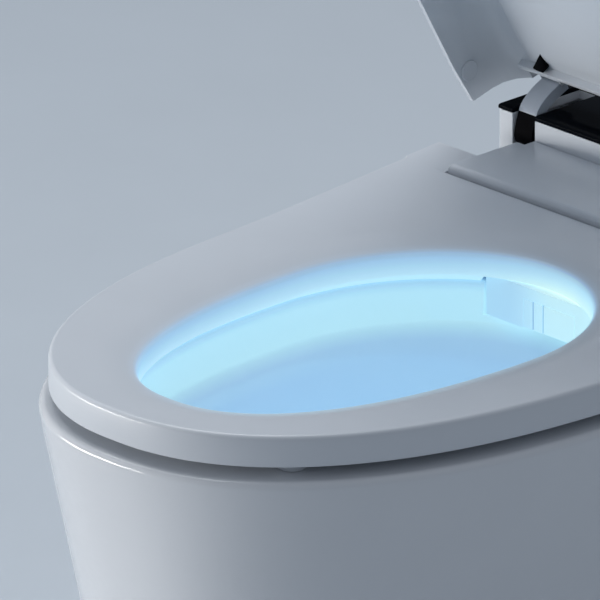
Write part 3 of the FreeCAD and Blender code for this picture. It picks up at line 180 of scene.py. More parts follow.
@dataclass(frozen=True)
class Finish:
    """A surface finish with slight variation in colour and gloss and a fine relief.

    The colour is linear, and the roughness has a lowest and a highest value. Shade is how much darker the
    darkest patches are, and mirror is how strongly it reflects, against common plastic.
    """

    name: str
    colour: Colour
    roughness: Span
    grain: Grain
    metallic: float = 0.0
    coat: float = 0.0
    shade: float = 0.04
    mirror: float = 1.0
    glow: Glow | None = None

    def material(self) -> bpy.types.Material:
        """Returns the finish's material, made on first use."""
        name = self.name + "_finish"
        return bpy.data.materials.get(name) or self.build(name)

    def build(self, name: str) -> bpy.types.Material:
        """Makes the finish's nodes.

        Args:
            name: The material's name.

        Returns:
            The new material.
        """
        material = bpy.data.materials.new(name)
        shading = Shading(material)
        shading.fill(shading.shader, {
            "Base Color": self.tint(shading), "Roughness": self.gloss(shading),
            "Normal": self.relief(shading), "IOR": 1.0 + PLASTIC * self.mirror, "Metallic": self.metallic,
            "Coat Weight": self.coat, "Coat Roughness": COAT_ROUGHNESS})
        if self.glow:
            self.light(shading)
        material.diffuse_color = (*self.colour, 1.0)
        return material

    def tint(self, shading: Shading) -> Socket:
        """The colour, which varies softly over the surface."""
        dark = tuple(part * (1.0 - self.shade) for part in self.colour)
        return shading.ramp(shading.noise(*TINT_NOISE), list(zip(PATCHES, (dark, self.colour))))

    def gloss(self, shading: Shading) -> Socket:
        """The roughness, which varies between its two ends."""
        ends = zip(("From Min", "From Max", "To Min", "To Max"), (*PATCHES, *self.roughness))
        return shading.add("MapRange", {"Value": shading.noise(*GLOSS_NOISE), **dict(ends)}).outputs["Result"]

    def relief(self, shading: Shading) -> Socket:
        """The fine relief of the grain.

        Args:
            shading: The material's nodes.

        Returns:
            The normal, bent by the relief.
        """
        scale, depth = self.grain.value
        height = shading.noise(scale, RELIEF_OCTAVES)
        return shading.add("Bump", {"Strength": 1.0, "Distance": depth, "Height": height}).outputs["Normal"]

    def light(self, shading: Shading) -> None:
        """Gives off light where the piece's glow attribute says so: painted light on the glaze and the white
        plastic, and the lens's own light on the lens.

        Args:
            shading: The material's nodes.
        """
        amount = shading.add("Attribute", {}, attribute_name=GLOW).outputs["Fac"]
        share = shading.add("Math", {0: amount, 1: TOP_LEVEL}, operation="DIVIDE")
        power = shading.add("Math", {0: amount, 1: self.glow.strength}, operation="MULTIPLY")
        places = WEAK_LEVEL / TOP_LEVEL, 1.0 / TOP_LEVEL, 1.0
        stops = list(zip(places, (self.glow.deep, self.glow.pale, self.glow.bright)))
        shading.fill(shading.shader, {"Emission Color": shading.ramp(share.outputs["Value"], stops),
                                      "Emission Strength": power.outputs["Value"]})


# Painted light: the glaze and the white plastic glow in the night light's colours although they are no lamps;
# the lens is the lamp.
PAINTED_BOWL_LIGHT = Glow(deep=(0.15, 0.48, 1.0), pale=(0.44, 0.86, 0.90), bright=(0.44, 0.86, 0.90), strength=0.465)
PAINTED_LIP_LIGHT = Glow(deep=(0.26, 0.60, 0.98), pale=(0.50, 0.86, 0.93), bright=(0.72, 0.92, 0.50), strength=0.51)
LENS_GLOW = Glow(deep=(0.62, 0.88, 1.0), pale=(0.62, 0.88, 1.0), bright=(0.62, 0.88, 1.0), strength=0.35)

FINISHES = {
    "glazed_ceramic": Finish("white_glaze", (0.70, 0.72, 0.75), (0.10, 0.16), Grain.GLAZE, coat=0.4,
                             shade=0.03, glow=PAINTED_BOWL_LIGHT),
    "white_gloss": Finish("white_gloss_plastic", (0.66, 0.69, 0.73), (0.30, 0.38), Grain.MOULDED, coat=0.15,
                          shade=0.03, glow=PAINTED_LIP_LIGHT),
    "white_satin": Finish("white_satin_plastic", (0.64, 0.67, 0.71), (0.42, 0.5), Grain.MOULDED),
    "black_glass": Finish("black_glass", (0.004, 0.005, 0.007), (0.06, 0.10), Grain.SMOOTH, mirror=0.12),
    "black_plastic": Finish("black_plastic", (0.003, 0.003, 0.004), (0.45, 0.55), Grain.SPARK, mirror=0.1),
    "grey_arm": Finish("grey_arm_paint", (0.42, 0.46, 0.52), (0.32, 0.4), Grain.SPARK, coat=0.2),
    "rubber": Finish("pale_rubber", (0.62, 0.65, 0.69), (0.7, 0.82), Grain.SPARK),
    "steel": Finish("brushed_steel", (0.60, 0.61, 0.63), (0.26, 0.36), Grain.BRUSHED, metallic=1.0),
    "metal_block": Finish("cast_aluminium", (0.56, 0.57, 0.58), (0.42, 0.55), Grain.SPARK, metallic=1.0),
    "brass": Finish("machined_brass", (0.72, 0.52, 0.22), (0.25, 0.35), Grain.BRUSHED, metallic=1.0),
    "grey_plastic": Finish("grey_plastic", (0.36, 0.38, 0.40), (0.45, 0.55), Grain.MOULDED),
    "circuit_board": Finish("solder_mask", (0.02, 0.13, 0.07), (0.3, 0.45), Grain.SPARK, shade=0.3),
    "heater_foil": Finish("heater_foil", (0.75, 0.75, 0.77), (0.3, 0.4), Grain.SPARK, metallic=1.0),
    "light_lens": Finish("lit_lens", (0.75, 0.86, 0.95), (0.35, 0.45), Grain.SMOOTH, glow=LENS_GLOW),
    "chrome": Finish("chrome", (0.80, 0.80, 0.82), (0.04, 0.08), Grain.SMOOTH, metallic=1.0),
}


def clamp(value: float, low: float = 0.0, high: float = 1.0) -> float:
    """Keeps a value between two ends."""
    return min(max(value, low), high)


def resample(path: Sequence[Span], count: int) -> Outline:
    """Spaces points evenly along a path.

    Args:
        path: Points of the path.
        count: Number of steps.

    Returns:
        One point more than there are steps.
    """
    lengths = [0.0]
    for (x0, y0), (x1, y1) in zip(path, path[1:]):
        lengths.append(lengths[-1] + math.hypot(x1 - x0, y1 - y0))
    spots, leg = [], 0
    for step in range(count + 1):
        wanted = lengths[-1] * step / count
        while leg < len(path) - 2 and lengths[leg + 1] < wanted:
            leg += 1
        share = (wanted - lengths[leg]) / max(lengths[leg + 1] - lengths[leg], SHORTEST)
        (x0, y0), (x1, y1) = path[leg], path[leg + 1]
        spots.append((x0 + (x1 - x0) * share, y0 + (y1 - y0) * share))
    return spots


@dataclass(frozen=True)
class RimPlan:
    """The rim from above: a full nose, sides that spread to the rear, and a straight back."""

    nose_y: float = -0.021
    nose_length: float = 0.317
    mid_half: float = 0.188
    rear_half: float = 0.206
    side_y: float = 0.145
    blend: float = 0.060
    power: float = 2.28
    nose_steps: int = 44
    side_steps: int = 16

    def side_x(self, y: float, grow: float) -> float:
        """The half width at a depth behind the nose."""
        share = min((y - self.nose_y) / (self.side_y - self.nose_y), 1.0)
        return self.mid_half + (self.rear_half - self.mid_half) * share + grow

    def nose(self, side_grow: float, front_grow: float) -> Outline:
        """The right half of the nose.

        Args:
            side_grow: Growth of the half width.
            front_grow: Growth of the length.

        Returns:
            Points from the tip to the widest place.
        """
        slope = (self.rear_half - self.mid_half) / (self.side_y - self.nose_y)
        exponent = 2.0 / self.power
        spots = []
        for step in range(self.nose_steps + 1):
            angle = math.pi / 2 * step / self.nose_steps
            ahead = (self.nose_length + front_grow) * max(math.cos(angle), 0.0) ** exponent
            half = (self.mid_half + side_grow) * math.sin(angle) ** exponent
            half -= slope * ahead * math.exp(-ahead / self.blend) * math.sin(angle)
            spots.append((half, self.nose_y - ahead))
        return spots

    def sides(self, grow: float, end_y: float) -> Outline:
        """The right side behind the nose.

        Args:
            grow: Growth of the half width.
            end_y: The depth at which it ends.

        Returns:
            Points of the side, without its first, which ends the nose.
        """
        path = [(self.side_x(self.nose_y, grow), self.nose_y)]
        if end_y > self.side_y:
            path.append((self.side_x(self.side_y, grow), self.side_y))
        path.append((self.side_x(end_y, grow), end_y))
        return resample(path, self.side_steps)[1:]


@dataclass(frozen=True)
class OpeningPlan:
    """The opening of the seat and bowl, from above: a blunt front and a round rear."""

    centre_y: float = -0.075
    half: float = 0.105
    front: float = 0.205
    rear: float = 0.125
    power: float = 2.3

    def spot(self, toward: Span, grow: float, share: float = 1.0) -> Span:
        """The point of the opening's edge in the direction of another point.

        Args:
            toward: A point outside.
            grow: Growth all round.
            share: Scale after the growth.

        Returns:
            The point's x and y.
        """
        x, ahead = toward[0], self.centre_y - toward[1]
        length = self.front if ahead > 0 else self.rear
        angle = math.atan2(x / self.half, ahead / length)
        across, along = math.sin(angle), math.cos(angle)
        if along > 0:
            exponent = 2.0 / self.power
            across = math.copysign(abs(across) ** exponent, across)
            along **= exponent
        return (self.half + grow) * share * across, self.centre_y - (length + grow) * share * along

    def rear_y(self, x: float, grow: float, share: float = 1.0) -> float:
        """The depth of the round rear at a place across."""
        across = x / ((self.half + grow) * share)
        return self.centre_y + (self.rear + grow) * share * math.sqrt(max(1 - across ** 2, 0.0))


def whole(half: Outline) -> Outline:
    """Adds the mirrored left half to a right half that runs from the tip to the rear centre."""
    return half + [(-x, y) for x, y in reversed(half[1:-1])]


def level(outline: Outline, z: float) -> Ring:
    """Lifts an outline to a height."""
    return [Vector((x, y, z)) for x, y in outline]


def round_edges(mesh: Mesh, edges: Iterable[bmesh.types.BMEdge], radius: float, segments: int) -> None:
    """Bevels edges to a round."""
    bmesh.ops.bevel(mesh, geom=list(edges), offset=radius, segments=segments, profile=0.5, affect="EDGES",
                    material=-1, clamp_overlap=True)


def faced_out(mesh: Mesh) -> Mesh:
    """Turns a mesh's faces outward."""
    bmesh.ops.recalc_face_normals(mesh, faces=mesh.faces)
    return mesh


def new_verts(made: dict[str, list]) -> list[bmesh.types.BMVert]:
    """The vertices among what an extrusion made."""
    return [item for item in made["geom"] if isinstance(item, bmesh.types.BMVert)]


def cut_faces(mesh: Mesh, faces: list[bmesh.types.BMFace]) -> Edges:
    """Cuts faces out of a skin.

    Args:
        mesh: The skin.
        faces: The faces.

    Returns:
        The edges round the hole.
    """
    inside = set(faces)
    lip = {edge for face in faces for edge in face.edges
           if any(other not in inside for other in edge.link_faces)}
    bmesh.ops.delete(mesh, geom=faces, context="FACES")
    return [edge for edge in lip if edge.is_valid]


class RingLoft:
    """A skin that grows ring by ring, each ring with the same number of stations."""

    def __init__(self, ring: Ring, glow: float = 0.0) -> None:
        """Makes a mesh with its first ring.

        Args:
            ring: The ring's spots.
            glow: The ring's glow.
        """
        self.mesh = bmesh.new()
        self.station = self.mesh.verts.layers.int.new(STATION)
        self.glow = self.mesh.verts.layers.float.new(GLOW)
        self.rings: list[list[bmesh.types.BMVert]] = []
        self.start(ring, glow)

    def start(self, ring: Ring, glow: float = 0.0) -> None:
        """Starts a run of rings in the mesh, with a circle that is moved on to the first.

        Args:
            ring: The first ring's spots.
            glow: The first ring's glow.
        """
        made = bmesh.ops.create_circle(self.mesh, segments=len(ring), radius=1.0)["verts"]
        for number, vert in enumerate(made):
            vert[self.station] = number
        self.rings.append(list(made))
        self.place(ring, glow)

    def place(self, ring: Ring, glow: float | Sequence[float]) -> None:
        """Moves the last ring's vertices to their spots and sets their glow.

        Args:
            ring: The spots.
            glow: One glow for all spots, or one for each.
        """
        levels = [glow] * len(ring) if isinstance(glow, float) else glow
        for vert, spot, share in zip(self.rings[-1], ring, levels):
            vert.co = spot
            vert[self.glow] = share

    def grow(self, ring: Ring, glow: float | Sequence[float] = 0.0) -> None:
        """Extrudes the last ring to a new one.

        Args:
            ring: The new ring's spots.
            glow: One glow for all spots, or one for each.
        """
        made = bmesh.ops.extrude_edge_only(self.mesh, edges=self.edges(-1))
        self.rings.append(sorted(new_verts(made), key=lambda vert: vert[self.station]))
        self.place(ring, glow)

    def cut_patch(self, first: int, last: int, reach: int) -> Edges:
        """Cuts a patch out of the skin, centred on the rear.

        Args:
            first: The patch's first ring.
            last: Its last ring.
            reach: Stations to either side of the rear centre.

        Returns:
            The edges round the hole.
        """
        middle = len(self.rings[first]) // 2
        verts = {vert for ring in self.rings[first:last + 1] for vert in ring
                 if abs(vert[self.station] - middle) <= reach}
        return cut_faces(self.mesh, [face for face in self.mesh.faces if verts.issuperset(face.verts)])

    def edges(self, number: int) -> Edges:
        """The edges of a ring."""
        ring = self.rings[number]
        return [self.mesh.edges.get((a, b)) for a, b in zip(ring, ring[1:] + ring[:1])]

    def cap(self, number: int) -> None:
        """Closes a ring with one face."""
        bmesh.ops.edgeloop_fill(self.mesh, edges=self.edges(number))

    def join_ends(self) -> None:
        """Joins the last ring to the first."""
        bmesh.ops.bridge_loops(self.mesh, edges=self.edges(0) + self.edges(-1))

    def round(self, number: int, radius: float, segments: int) -> None:
        """Rounds a ring's edges over."""
        round_edges(self.mesh, self.edges(number), radius, segments)


def make_piece(name: str, mesh: Mesh, slot: str, body: str, nodes: Sequence[str] = ()) -> bpy.types.Object:
    """Turns a finished mesh into a piece of the object.

    Args:
        name: The piece's name.
        mesh: Its mesh, which is freed.
        slot: The record's material slot.
        body: The body that it rides on.
        nodes: The CAD nodes that it stands for.

    Returns:
        The new object.
    """
    data = bpy.data.meshes.new(name)
    mesh.to_mesh(data)
    mesh.free()
    data.shade_smooth()
    data.set_sharp_from_angle(angle=math.radians(SHARP_ANGLE))
    data.materials.append(FINISHES[slot].material())
    piece = bpy.data.objects.new(name, data)
    bpy.context.scene.collection.objects.link(piece)
    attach(piece, body)
    if nodes:
        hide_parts(*nodes)
    LOG.info("%s: %d faces on %s", name, len(data.polygons), body)
    return piece


def split(mesh: Mesh, parts: Iterable, axis: Vector, place: float) -> None:
    """Cuts parts of a mesh in two at a place along an axis."""
    bmesh.ops.bisect_plane(mesh, geom=list(parts), dist=NEAR, plane_co=axis * place, plane_no=axis)


@dataclass
class Pedestal:
    """The skirted ceramic bowl: skirt, rim, bowl, trap and floor lugs."""

    plan: RimPlan = RimPlan()
    opening: OpeningPlan = OpeningPlan()
    rim_z: float = 0.395
    shoulder_z: float = 0.375
    skirt_top: float = 0.391
    skirt_z: tuple[float, ...] = (0.29, 0.21, 0.13)
    inside_z: float = 0.2
    foot_side: float = 0.066
    foot_front: float = 0.082
    back_y: float = 0.3379
    corner: float = 0.040
    corner_turns: int = 16
    corner_steps: int = 12
    back_steps: int = 10
    wall: float = 0.012
    deck: float = 0.014
    rim_round: Round = (0.0055, 6)
    mouth_round: Round = (0.004, 4)
    foot_round: Round = (0.003, 3)
    service_half: float = 0.125
    service_z: Span = (0.045, 0.352)
    sump_z: float = 0.150
    bowl_grow: float = 0.009
    # Depth, size and painted glow of each ring of the bowl, as shares.
    bowl_shares: tuple[tuple[float, float, float], ...] = (
        (0.0, 1.0, 0.8), (0.03, 1.0, 1.0), (0.11, 0.99, 1.0), (0.125, 0.975, 0.9), (0.15, 0.935, 0.74),
        (0.2, 0.9, 0.70), (0.3, 0.85, 0.72), (0.4, 0.795, 0.74), (0.5, 0.735, 0.74), (0.6, 0.665, 0.72),
        (0.7, 0.585, 0.7), (0.8, 0.5, 0.66), (0.9, 0.415, 0.6), (1.0, 0.34, 0.5))
    # How far the bowl's painted light runs on to the rim, and where it ends under the seat's rib or beside
    # the panel.
    lit_rim: float = 0.003
    dark_rim: float = 0.0036
    dark_beside_panel: float = 0.026
    panel_half: float = 0.078
    panel_y: float = 0.03
    window_half: float = 0.0537
    window_mid: float = 0.030
    window_y: Span = (0.040, 0.115)
    window_z: Span = (0.369, 0.3732)
    window_lip: tuple[float, float, float] = (0.0, 0.03, -0.002)
    # The bowl's upper rear wall and the rim behind it, where the window is cut.
    wall_half: float = 0.11
    wall_y: Span = (0.02, 0.25)
    wall_z: Span = (0.335, 0.396)
    rim_from: Span = (0.066, 0.389)
    trap_bore: float = 0.028
    trap_outer: float = 0.038
    trap_bend: float = 0.040
    trap_turn: Span = (17.9, -113.0)
    trap_start: Span = (0.0333, 0.171)
    trap_steps: int = 12
    trap_outer_start: int = 2
    drain_rings: tuple[int, int] = (1, 3)
    drain_stations: int = 17
    drain_half: float = 0.027
    drain_edge: float = 0.999
    # Painted light at the mouth of the trapway.
    drain_glow: float = 0.4
    outlet: Span = (0.043, 0.090)
    collar_profile: tuple[Span, ...] = (
        (0.030, 0.088), (0.042, 0.088), (0.042, 0.0), (0.052, 0.0), (0.052, 0.100), (0.030, 0.100))
    collar_steps: int = 48
    collar_near: float = 1e-5
    bolt: Span = (0.105, 0.140)
    lug_half: float = 0.020
    lug_hole: float = 0.006
    lug_top: float = 0.025
    lug_steps: int = 32
    cap_z: float = 0.040
    cap_radius: float = 0.013
    cap_depth: float = 0.0046
    cap_sunk: float = 0.0008
    cap_round: Round = (0.0012, 3)
    cap_steps: int = 40

    def outline(self, z: float, inset: float) -> Outline:
        """The skirt's outline.

        Args:
            z: Its height.
            inset: How far it is drawn in.

        Returns:
            The outline.
        """
        share = max(1.0 - z / self.skirt_top, 0.0)
        side = -self.foot_side * share - inset
        half = self.plan.nose(side, -self.foot_front * share - inset)
        back = self.back_y - inset
        half += self.plan.sides(side, back - self.corner)
        rear = self.plan.rear_half + side
        turn = [math.pi / 2 * step / self.corner_turns for step in range(self.corner_turns + 1)]
        path = [(rear - self.corner * (1 - math.cos(a)), back - self.corner * (1 - math.sin(a)))
                for a in turn]
        path = [spot for spot in path if spot[0] > self.service_half]
        path.append((self.service_half, self.back_at(rear, back, self.service_half)))
        half += resample(path, self.corner_steps)[1:]
        step = self.service_half / self.back_steps
        flat = [self.service_half - step * number for number in range(1, self.back_steps + 1)]
        return whole(half + [(x, self.back_at(rear, back, x)) for x in flat])

    def back_at(self, rear: float, back: float, x: float) -> float:
        """The depth of the back wall, or of its rounded corner, at a place across.

        Args:
            rear: Half width of the outline at the rear.
            back: Depth of the flat back.
            x: The place.

        Returns:
            The depth.
        """
        across = x - (rear - self.corner)
        if across <= 0:
            return back
        return back - self.corner + math.sqrt(self.corner ** 2 - across ** 2)

    def bowl_ring(self, depth: float, share: float, skin: float = 0.0) -> Ring:
        """A ring of the bowl.

        Args:
            depth: Share of the depth from the rim to the sump.
            share: Size against the bowl's mouth.
            skin: Thickness to add for the outer skin.

        Returns:
            The ring's spots.
        """
        ends = self.outline(self.rim_z, 0.0)
        spots = [self.opening.spot(end, self.bowl_grow + skin / share, share) for end in ends]
        return level(spots, self.rim_z - (self.rim_z - self.sump_z) * depth)

    def skin(self) -> Mesh:
        """Lofts the casting from the sump up the bowl, over the rim, down the skirt and up inside.

        Returns:
            The closed mesh.
        """
        # The bowl's rings carry painted light, the night light's glow on the glaze.
        depth, share, glow = self.bowl_shares[-1]
        loft = RingLoft(self.bowl_ring(depth, share), glow)
        for depth, share, glow in reversed(self.bowl_shares[:-1]):
            loft.grow(self.bowl_ring(depth, share), glow)
        mouth = len(loft.rings) - 1
        ends = self.outline(self.rim_z, 0.0)
        # The bowl's painted light runs on to the rim and ends under the seat's rib.
        lit = [self.opening.spot(end, self.bowl_grow + self.lit_rim) for end in ends]
        loft.grow(level(lit, self.rim_z), glow)
        loft.grow(level([self.dark_spot(end) for end in ends], self.rim_z))
        loft.grow(level(ends, self.rim_z))
        edge = len(loft.rings) - 1
        low, high = self.service_z
        for z in (self.shoulder_z, high, *self.skirt_z, low, 0.0):
            loft.grow(level(self.outline(z, 0.0), z))
        foot = len(loft.rings) - 1
        for z in (0.0, low, self.inside_z, high, self.rim_z - self.deck):
            loft.grow(level(self.outline(z, self.wall), z))
        for depth, share, _ in self.bowl_shares[2::2]:
            loft.grow(self.bowl_ring(depth, share, self.wall))
        sump = len(loft.rings)
        loft.grow([spot - UP * self.wall for spot in self.bowl_ring(*self.bowl_shares[-1][:2], self.wall)])
        loft.cap(0)
        loft.cap(sump)
        # The rear is open for the hose and cable, through the outer and the inner wall.
        bmesh.ops.bridge_loops(loft.mesh, edges=loft.cut_patch(foot - 5, foot - 1, self.back_steps)
                               + loft.cut_patch(foot + 2, foot + 4, self.back_steps))
        self.open_drain(loft, (sump - 2, sump - 1))
        loft.round(edge, *self.rim_round)
        loft.round(mouth, *self.mouth_round)
        loft.round(foot, *self.foot_round)
        self.open_window(loft.mesh)
        return faced_out(loft.mesh)

    def dark_spot(self, toward: Span) -> Span:
        """Where the bowl's painted light ends on the rim, in the direction of a point.

        Args:
            toward: A point outside.

        Returns:
            The place's x and y.
        """
        x, y = self.opening.spot(toward, self.bowl_grow)
        beside = y > self.panel_y and abs(x) < self.panel_half
        end = self.dark_beside_panel if beside else self.dark_rim
        return self.opening.spot(toward, self.bowl_grow + end)

    def open_drain(self, loft: RingLoft, outer: tuple[int, int]) -> None:
        """Opens the bowl's lower rear wall into the trapway, which climbs over a bend to the outlet.

        Args:
            loft: The casting's skin.
            outer: The rings of the bowl's outer skin that the trapway leaves through.
        """
        self.round_drain(loft)
        ends = []
        for (first, last), radius, start, glow in ((self.drain_rings, self.trap_bore, 0, self.drain_glow),
                                                   (outer, self.trap_outer, self.trap_outer_start, 0.0)):
            lip = loft.cut_patch(first, last, self.drain_stations)
            rings = [self.trap_ring(step, radius, len(lip)) for step in range(start, self.trap_steps + 2)]
            loft.start(rings[0], glow)
            bmesh.ops.bridge_loops(loft.mesh, edges=lip + loft.edges(-1))
            for ring in rings[1:]:
                loft.grow(ring)
            ends += loft.edges(-1)
        bmesh.ops.bridge_loops(loft.mesh, edges=ends)

    def round_drain(self, loft: RingLoft) -> None:
        """Draws the stations round the drain on to an oval of the bowl's rear wall.

        Args:
            loft: The casting's skin.
        """
        first, last = self.drain_rings
        middle = len(loft.rings[first]) // 2
        low, high = loft.rings[first][middle].co.z, loft.rings[last][middle].co.z
        for vert in (vert for ring in loft.rings[first:last + 1] for vert in ring):
            across = (middle - vert[loft.station]) / self.drain_stations
            rise = (vert.co.z * 2 - low - high) / (high - low)
            if abs(across) > 1 or max(abs(across), abs(rise)) < self.drain_edge:
                continue
            x = self.drain_half * across * math.sqrt(1 - rise ** 2 / 2)
            z = (low + high) / 2 + self.drain_half * rise * math.sqrt(1 - across ** 2 / 2)
            vert.co = Vector((x, self.rear_wall(x, z), z))

    def rear_wall(self, x: float, z: float) -> float:
        """The depth of the bowl's rear wall.

        Args:
            x: The place across.
            z: The height.

        Returns:
            The depth.
        """
        depth = (self.rim_z - z) / (self.rim_z - self.sump_z)
        for (upper, wide, _), (lower, narrow, _) in zip(self.bowl_shares, self.bowl_shares[1:]):
            if depth <= lower:
                break
        share = wide + (narrow - wide) * (depth - upper) / (lower - upper)
        return self.opening.rear_y(x, self.bowl_grow, share)

    def trap_ring(self, step: int, radius: float, count: int) -> Ring:
        """A ring of the trapway: a bend of so many steps, then the outlet's mouth.

        Args:
            step: Number of the ring.
            radius: The tube's radius there.
            count: Number of spots.

        Returns:
            The ring's spots.
        """
        entry, drop = (math.radians(angle) for angle in self.trap_turn)
        slope = entry + (drop - entry) * step / self.trap_steps
        up = Vector((0, -math.sin(slope), math.cos(slope)))
        centre = Vector((0, *self.trap_start)) + up * self.trap_bend
        if step > self.trap_steps:
            centre, up = Vector((0, *self.outlet)), ALONG
        angles = [math.tau * number / count for number in range(count)]
        return [centre + Vector((radius * math.cos(a), 0, 0)) + up * radius * math.sin(a) for a in angles]

    def open_window(self, mesh: Mesh) -> None:
        """Cuts the recess for the wash wands in the bowl's rear wall, and gives its edge a depth.

        Args:
            mesh: The casting's mesh.
        """
        cuts = [(ACROSS, side.value * half) for side in Side for half in (self.window_half, self.window_mid)]
        for axis, place in cuts + [(UP, z) for z in self.window_z]:
            faces = [face for face in mesh.faces if self.near_window(face.calc_center_median())]
            parts = set(faces)
            parts.update(edge for face in faces for edge in face.edges)
            parts.update(vert for face in faces for vert in face.verts)
            split(mesh, parts, axis, place)
        lip = cut_faces(mesh, [face for face in mesh.faces if self.in_window(face.calc_center_median())])
        made = bmesh.ops.extrude_edge_only(mesh, edges=lip)
        bmesh.ops.translate(mesh, verts=new_verts(made), vec=Vector(self.window_lip))

    def near_window(self, spot: Vector) -> bool:
        """Whether a place is on the bowl's upper rear wall or the rim behind it.

        Args:
            spot: The place.

        Returns:
            True if it is.
        """
        (front, back), (low, high), (rim_y, rim_low) = self.wall_y, self.wall_z, self.rim_from
        return abs(spot.x) < self.wall_half and front < spot.y < back and low < spot.z < high \
            and not (spot.y > rim_y and spot.z < rim_low)

    def in_window(self, spot: Vector) -> bool:
        """Whether a place is in the recess, which is deeper in its middle.

        Args:
            spot: The place.

        Returns:
            True if it is.
        """
        (front, back), (low, high) = self.window_y, self.window_z
        return self.near_window(spot) and abs(spot.x) < self.window_half and front < spot.y < back \
            and spot.z > (low if abs(spot.x) < self.window_mid else high)

    def collar(self) -> Mesh:
        """The waste outlet's collar, a tube open below.

        Returns:
            The mesh.
        """
        mesh = bmesh.new()
        centre = ALONG * self.outlet[0]
        verts = [bmesh.ops.create_vert(mesh, co=centre + Vector((r, 0, z)))["vert"][0]
                 for r, z in self.collar_profile]
        edges = [mesh.edges.new(pair) for pair in zip(verts, verts[1:] + verts[:1])]
        bmesh.ops.spin(mesh, geom=verts + edges, cent=centre, axis=UP, angle=math.tau,
                       steps=self.collar_steps, use_merge=True)
        bmesh.ops.remove_doubles(mesh, verts=mesh.verts, dist=self.collar_near)
        return faced_out(mesh)

    def lug(self, side: Side) -> Mesh:
        """A floor lug with its bolt hole.

        Args:
            side: Which side of the pedestal.

        Returns:
            The mesh.
        """
        centre = Vector((side.value * self.bolt[0], self.bolt[1], 0))
        angles = [math.tau * (number + 0.5) / self.lug_steps for number in range(self.lug_steps)]
        circle = [Vector((self.lug_hole * math.cos(a), self.lug_hole * math.sin(a), 0)) for a in angles]
        ways = [Vector((math.cos(a), math.sin(a), 0)) for a in angles]
        square = [way * self.lug_half / max(abs(way.x), abs(way.y)) for way in ways]
        loft = RingLoft([centre + spot for spot in circle])
        for ring, z in ((square, 0.0), (square, self.lug_top), (circle, self.lug_top)):
            loft.grow([centre + spot + UP * z for spot in ring])
        loft.join_ends()
        return faced_out(loft.mesh)

    def caps(self) -> Mesh:
        """The round caps in the sides of the skirt.

        Returns:
            The mesh.
        """
        mesh = bmesh.new()
        tilt = math.atan2(self.foot_side, self.skirt_top)
        half = self.plan.rear_half - self.foot_side * (1 - self.cap_z / self.skirt_top)
        for side in Side:
            turn = Matrix.Rotation(side.value * (math.pi / 2 + tilt), 4, "Y")
            spot = Matrix.Translation((side.value * (half - self.cap_sunk), self.bolt[1], self.cap_z))
            bmesh.ops.create_cone(mesh, cap_ends=True, segments=self.cap_steps, radius1=self.cap_radius,
                                  radius2=self.cap_radius, depth=self.cap_depth, matrix=spot @ turn)
        rims = [edge for edge in mesh.edges if any(len(face.verts) > 4 for face in edge.link_faces)]
        round_edges(mesh, rims, *self.cap_round)
        return mesh

    def build(self) -> None:
        """Makes the casting and the caps over its floor bolts."""
        mesh = self.skin()
        for part in (self.collar(), self.lug(Side.RIGHT), self.lug(Side.LEFT)):
            data = bpy.data.meshes.new("part")
            part.to_mesh(data)
            part.free()
            mesh.from_mesh(data)
            bpy.data.meshes.remove(data)
        make_piece("glazed_pedestal", mesh, "glazed_ceramic", "pedestal", ["ceramic_pedestal"])
        make_piece("bolt_caps", self.caps(), "white_gloss", "pedestal", ["access_caps"])


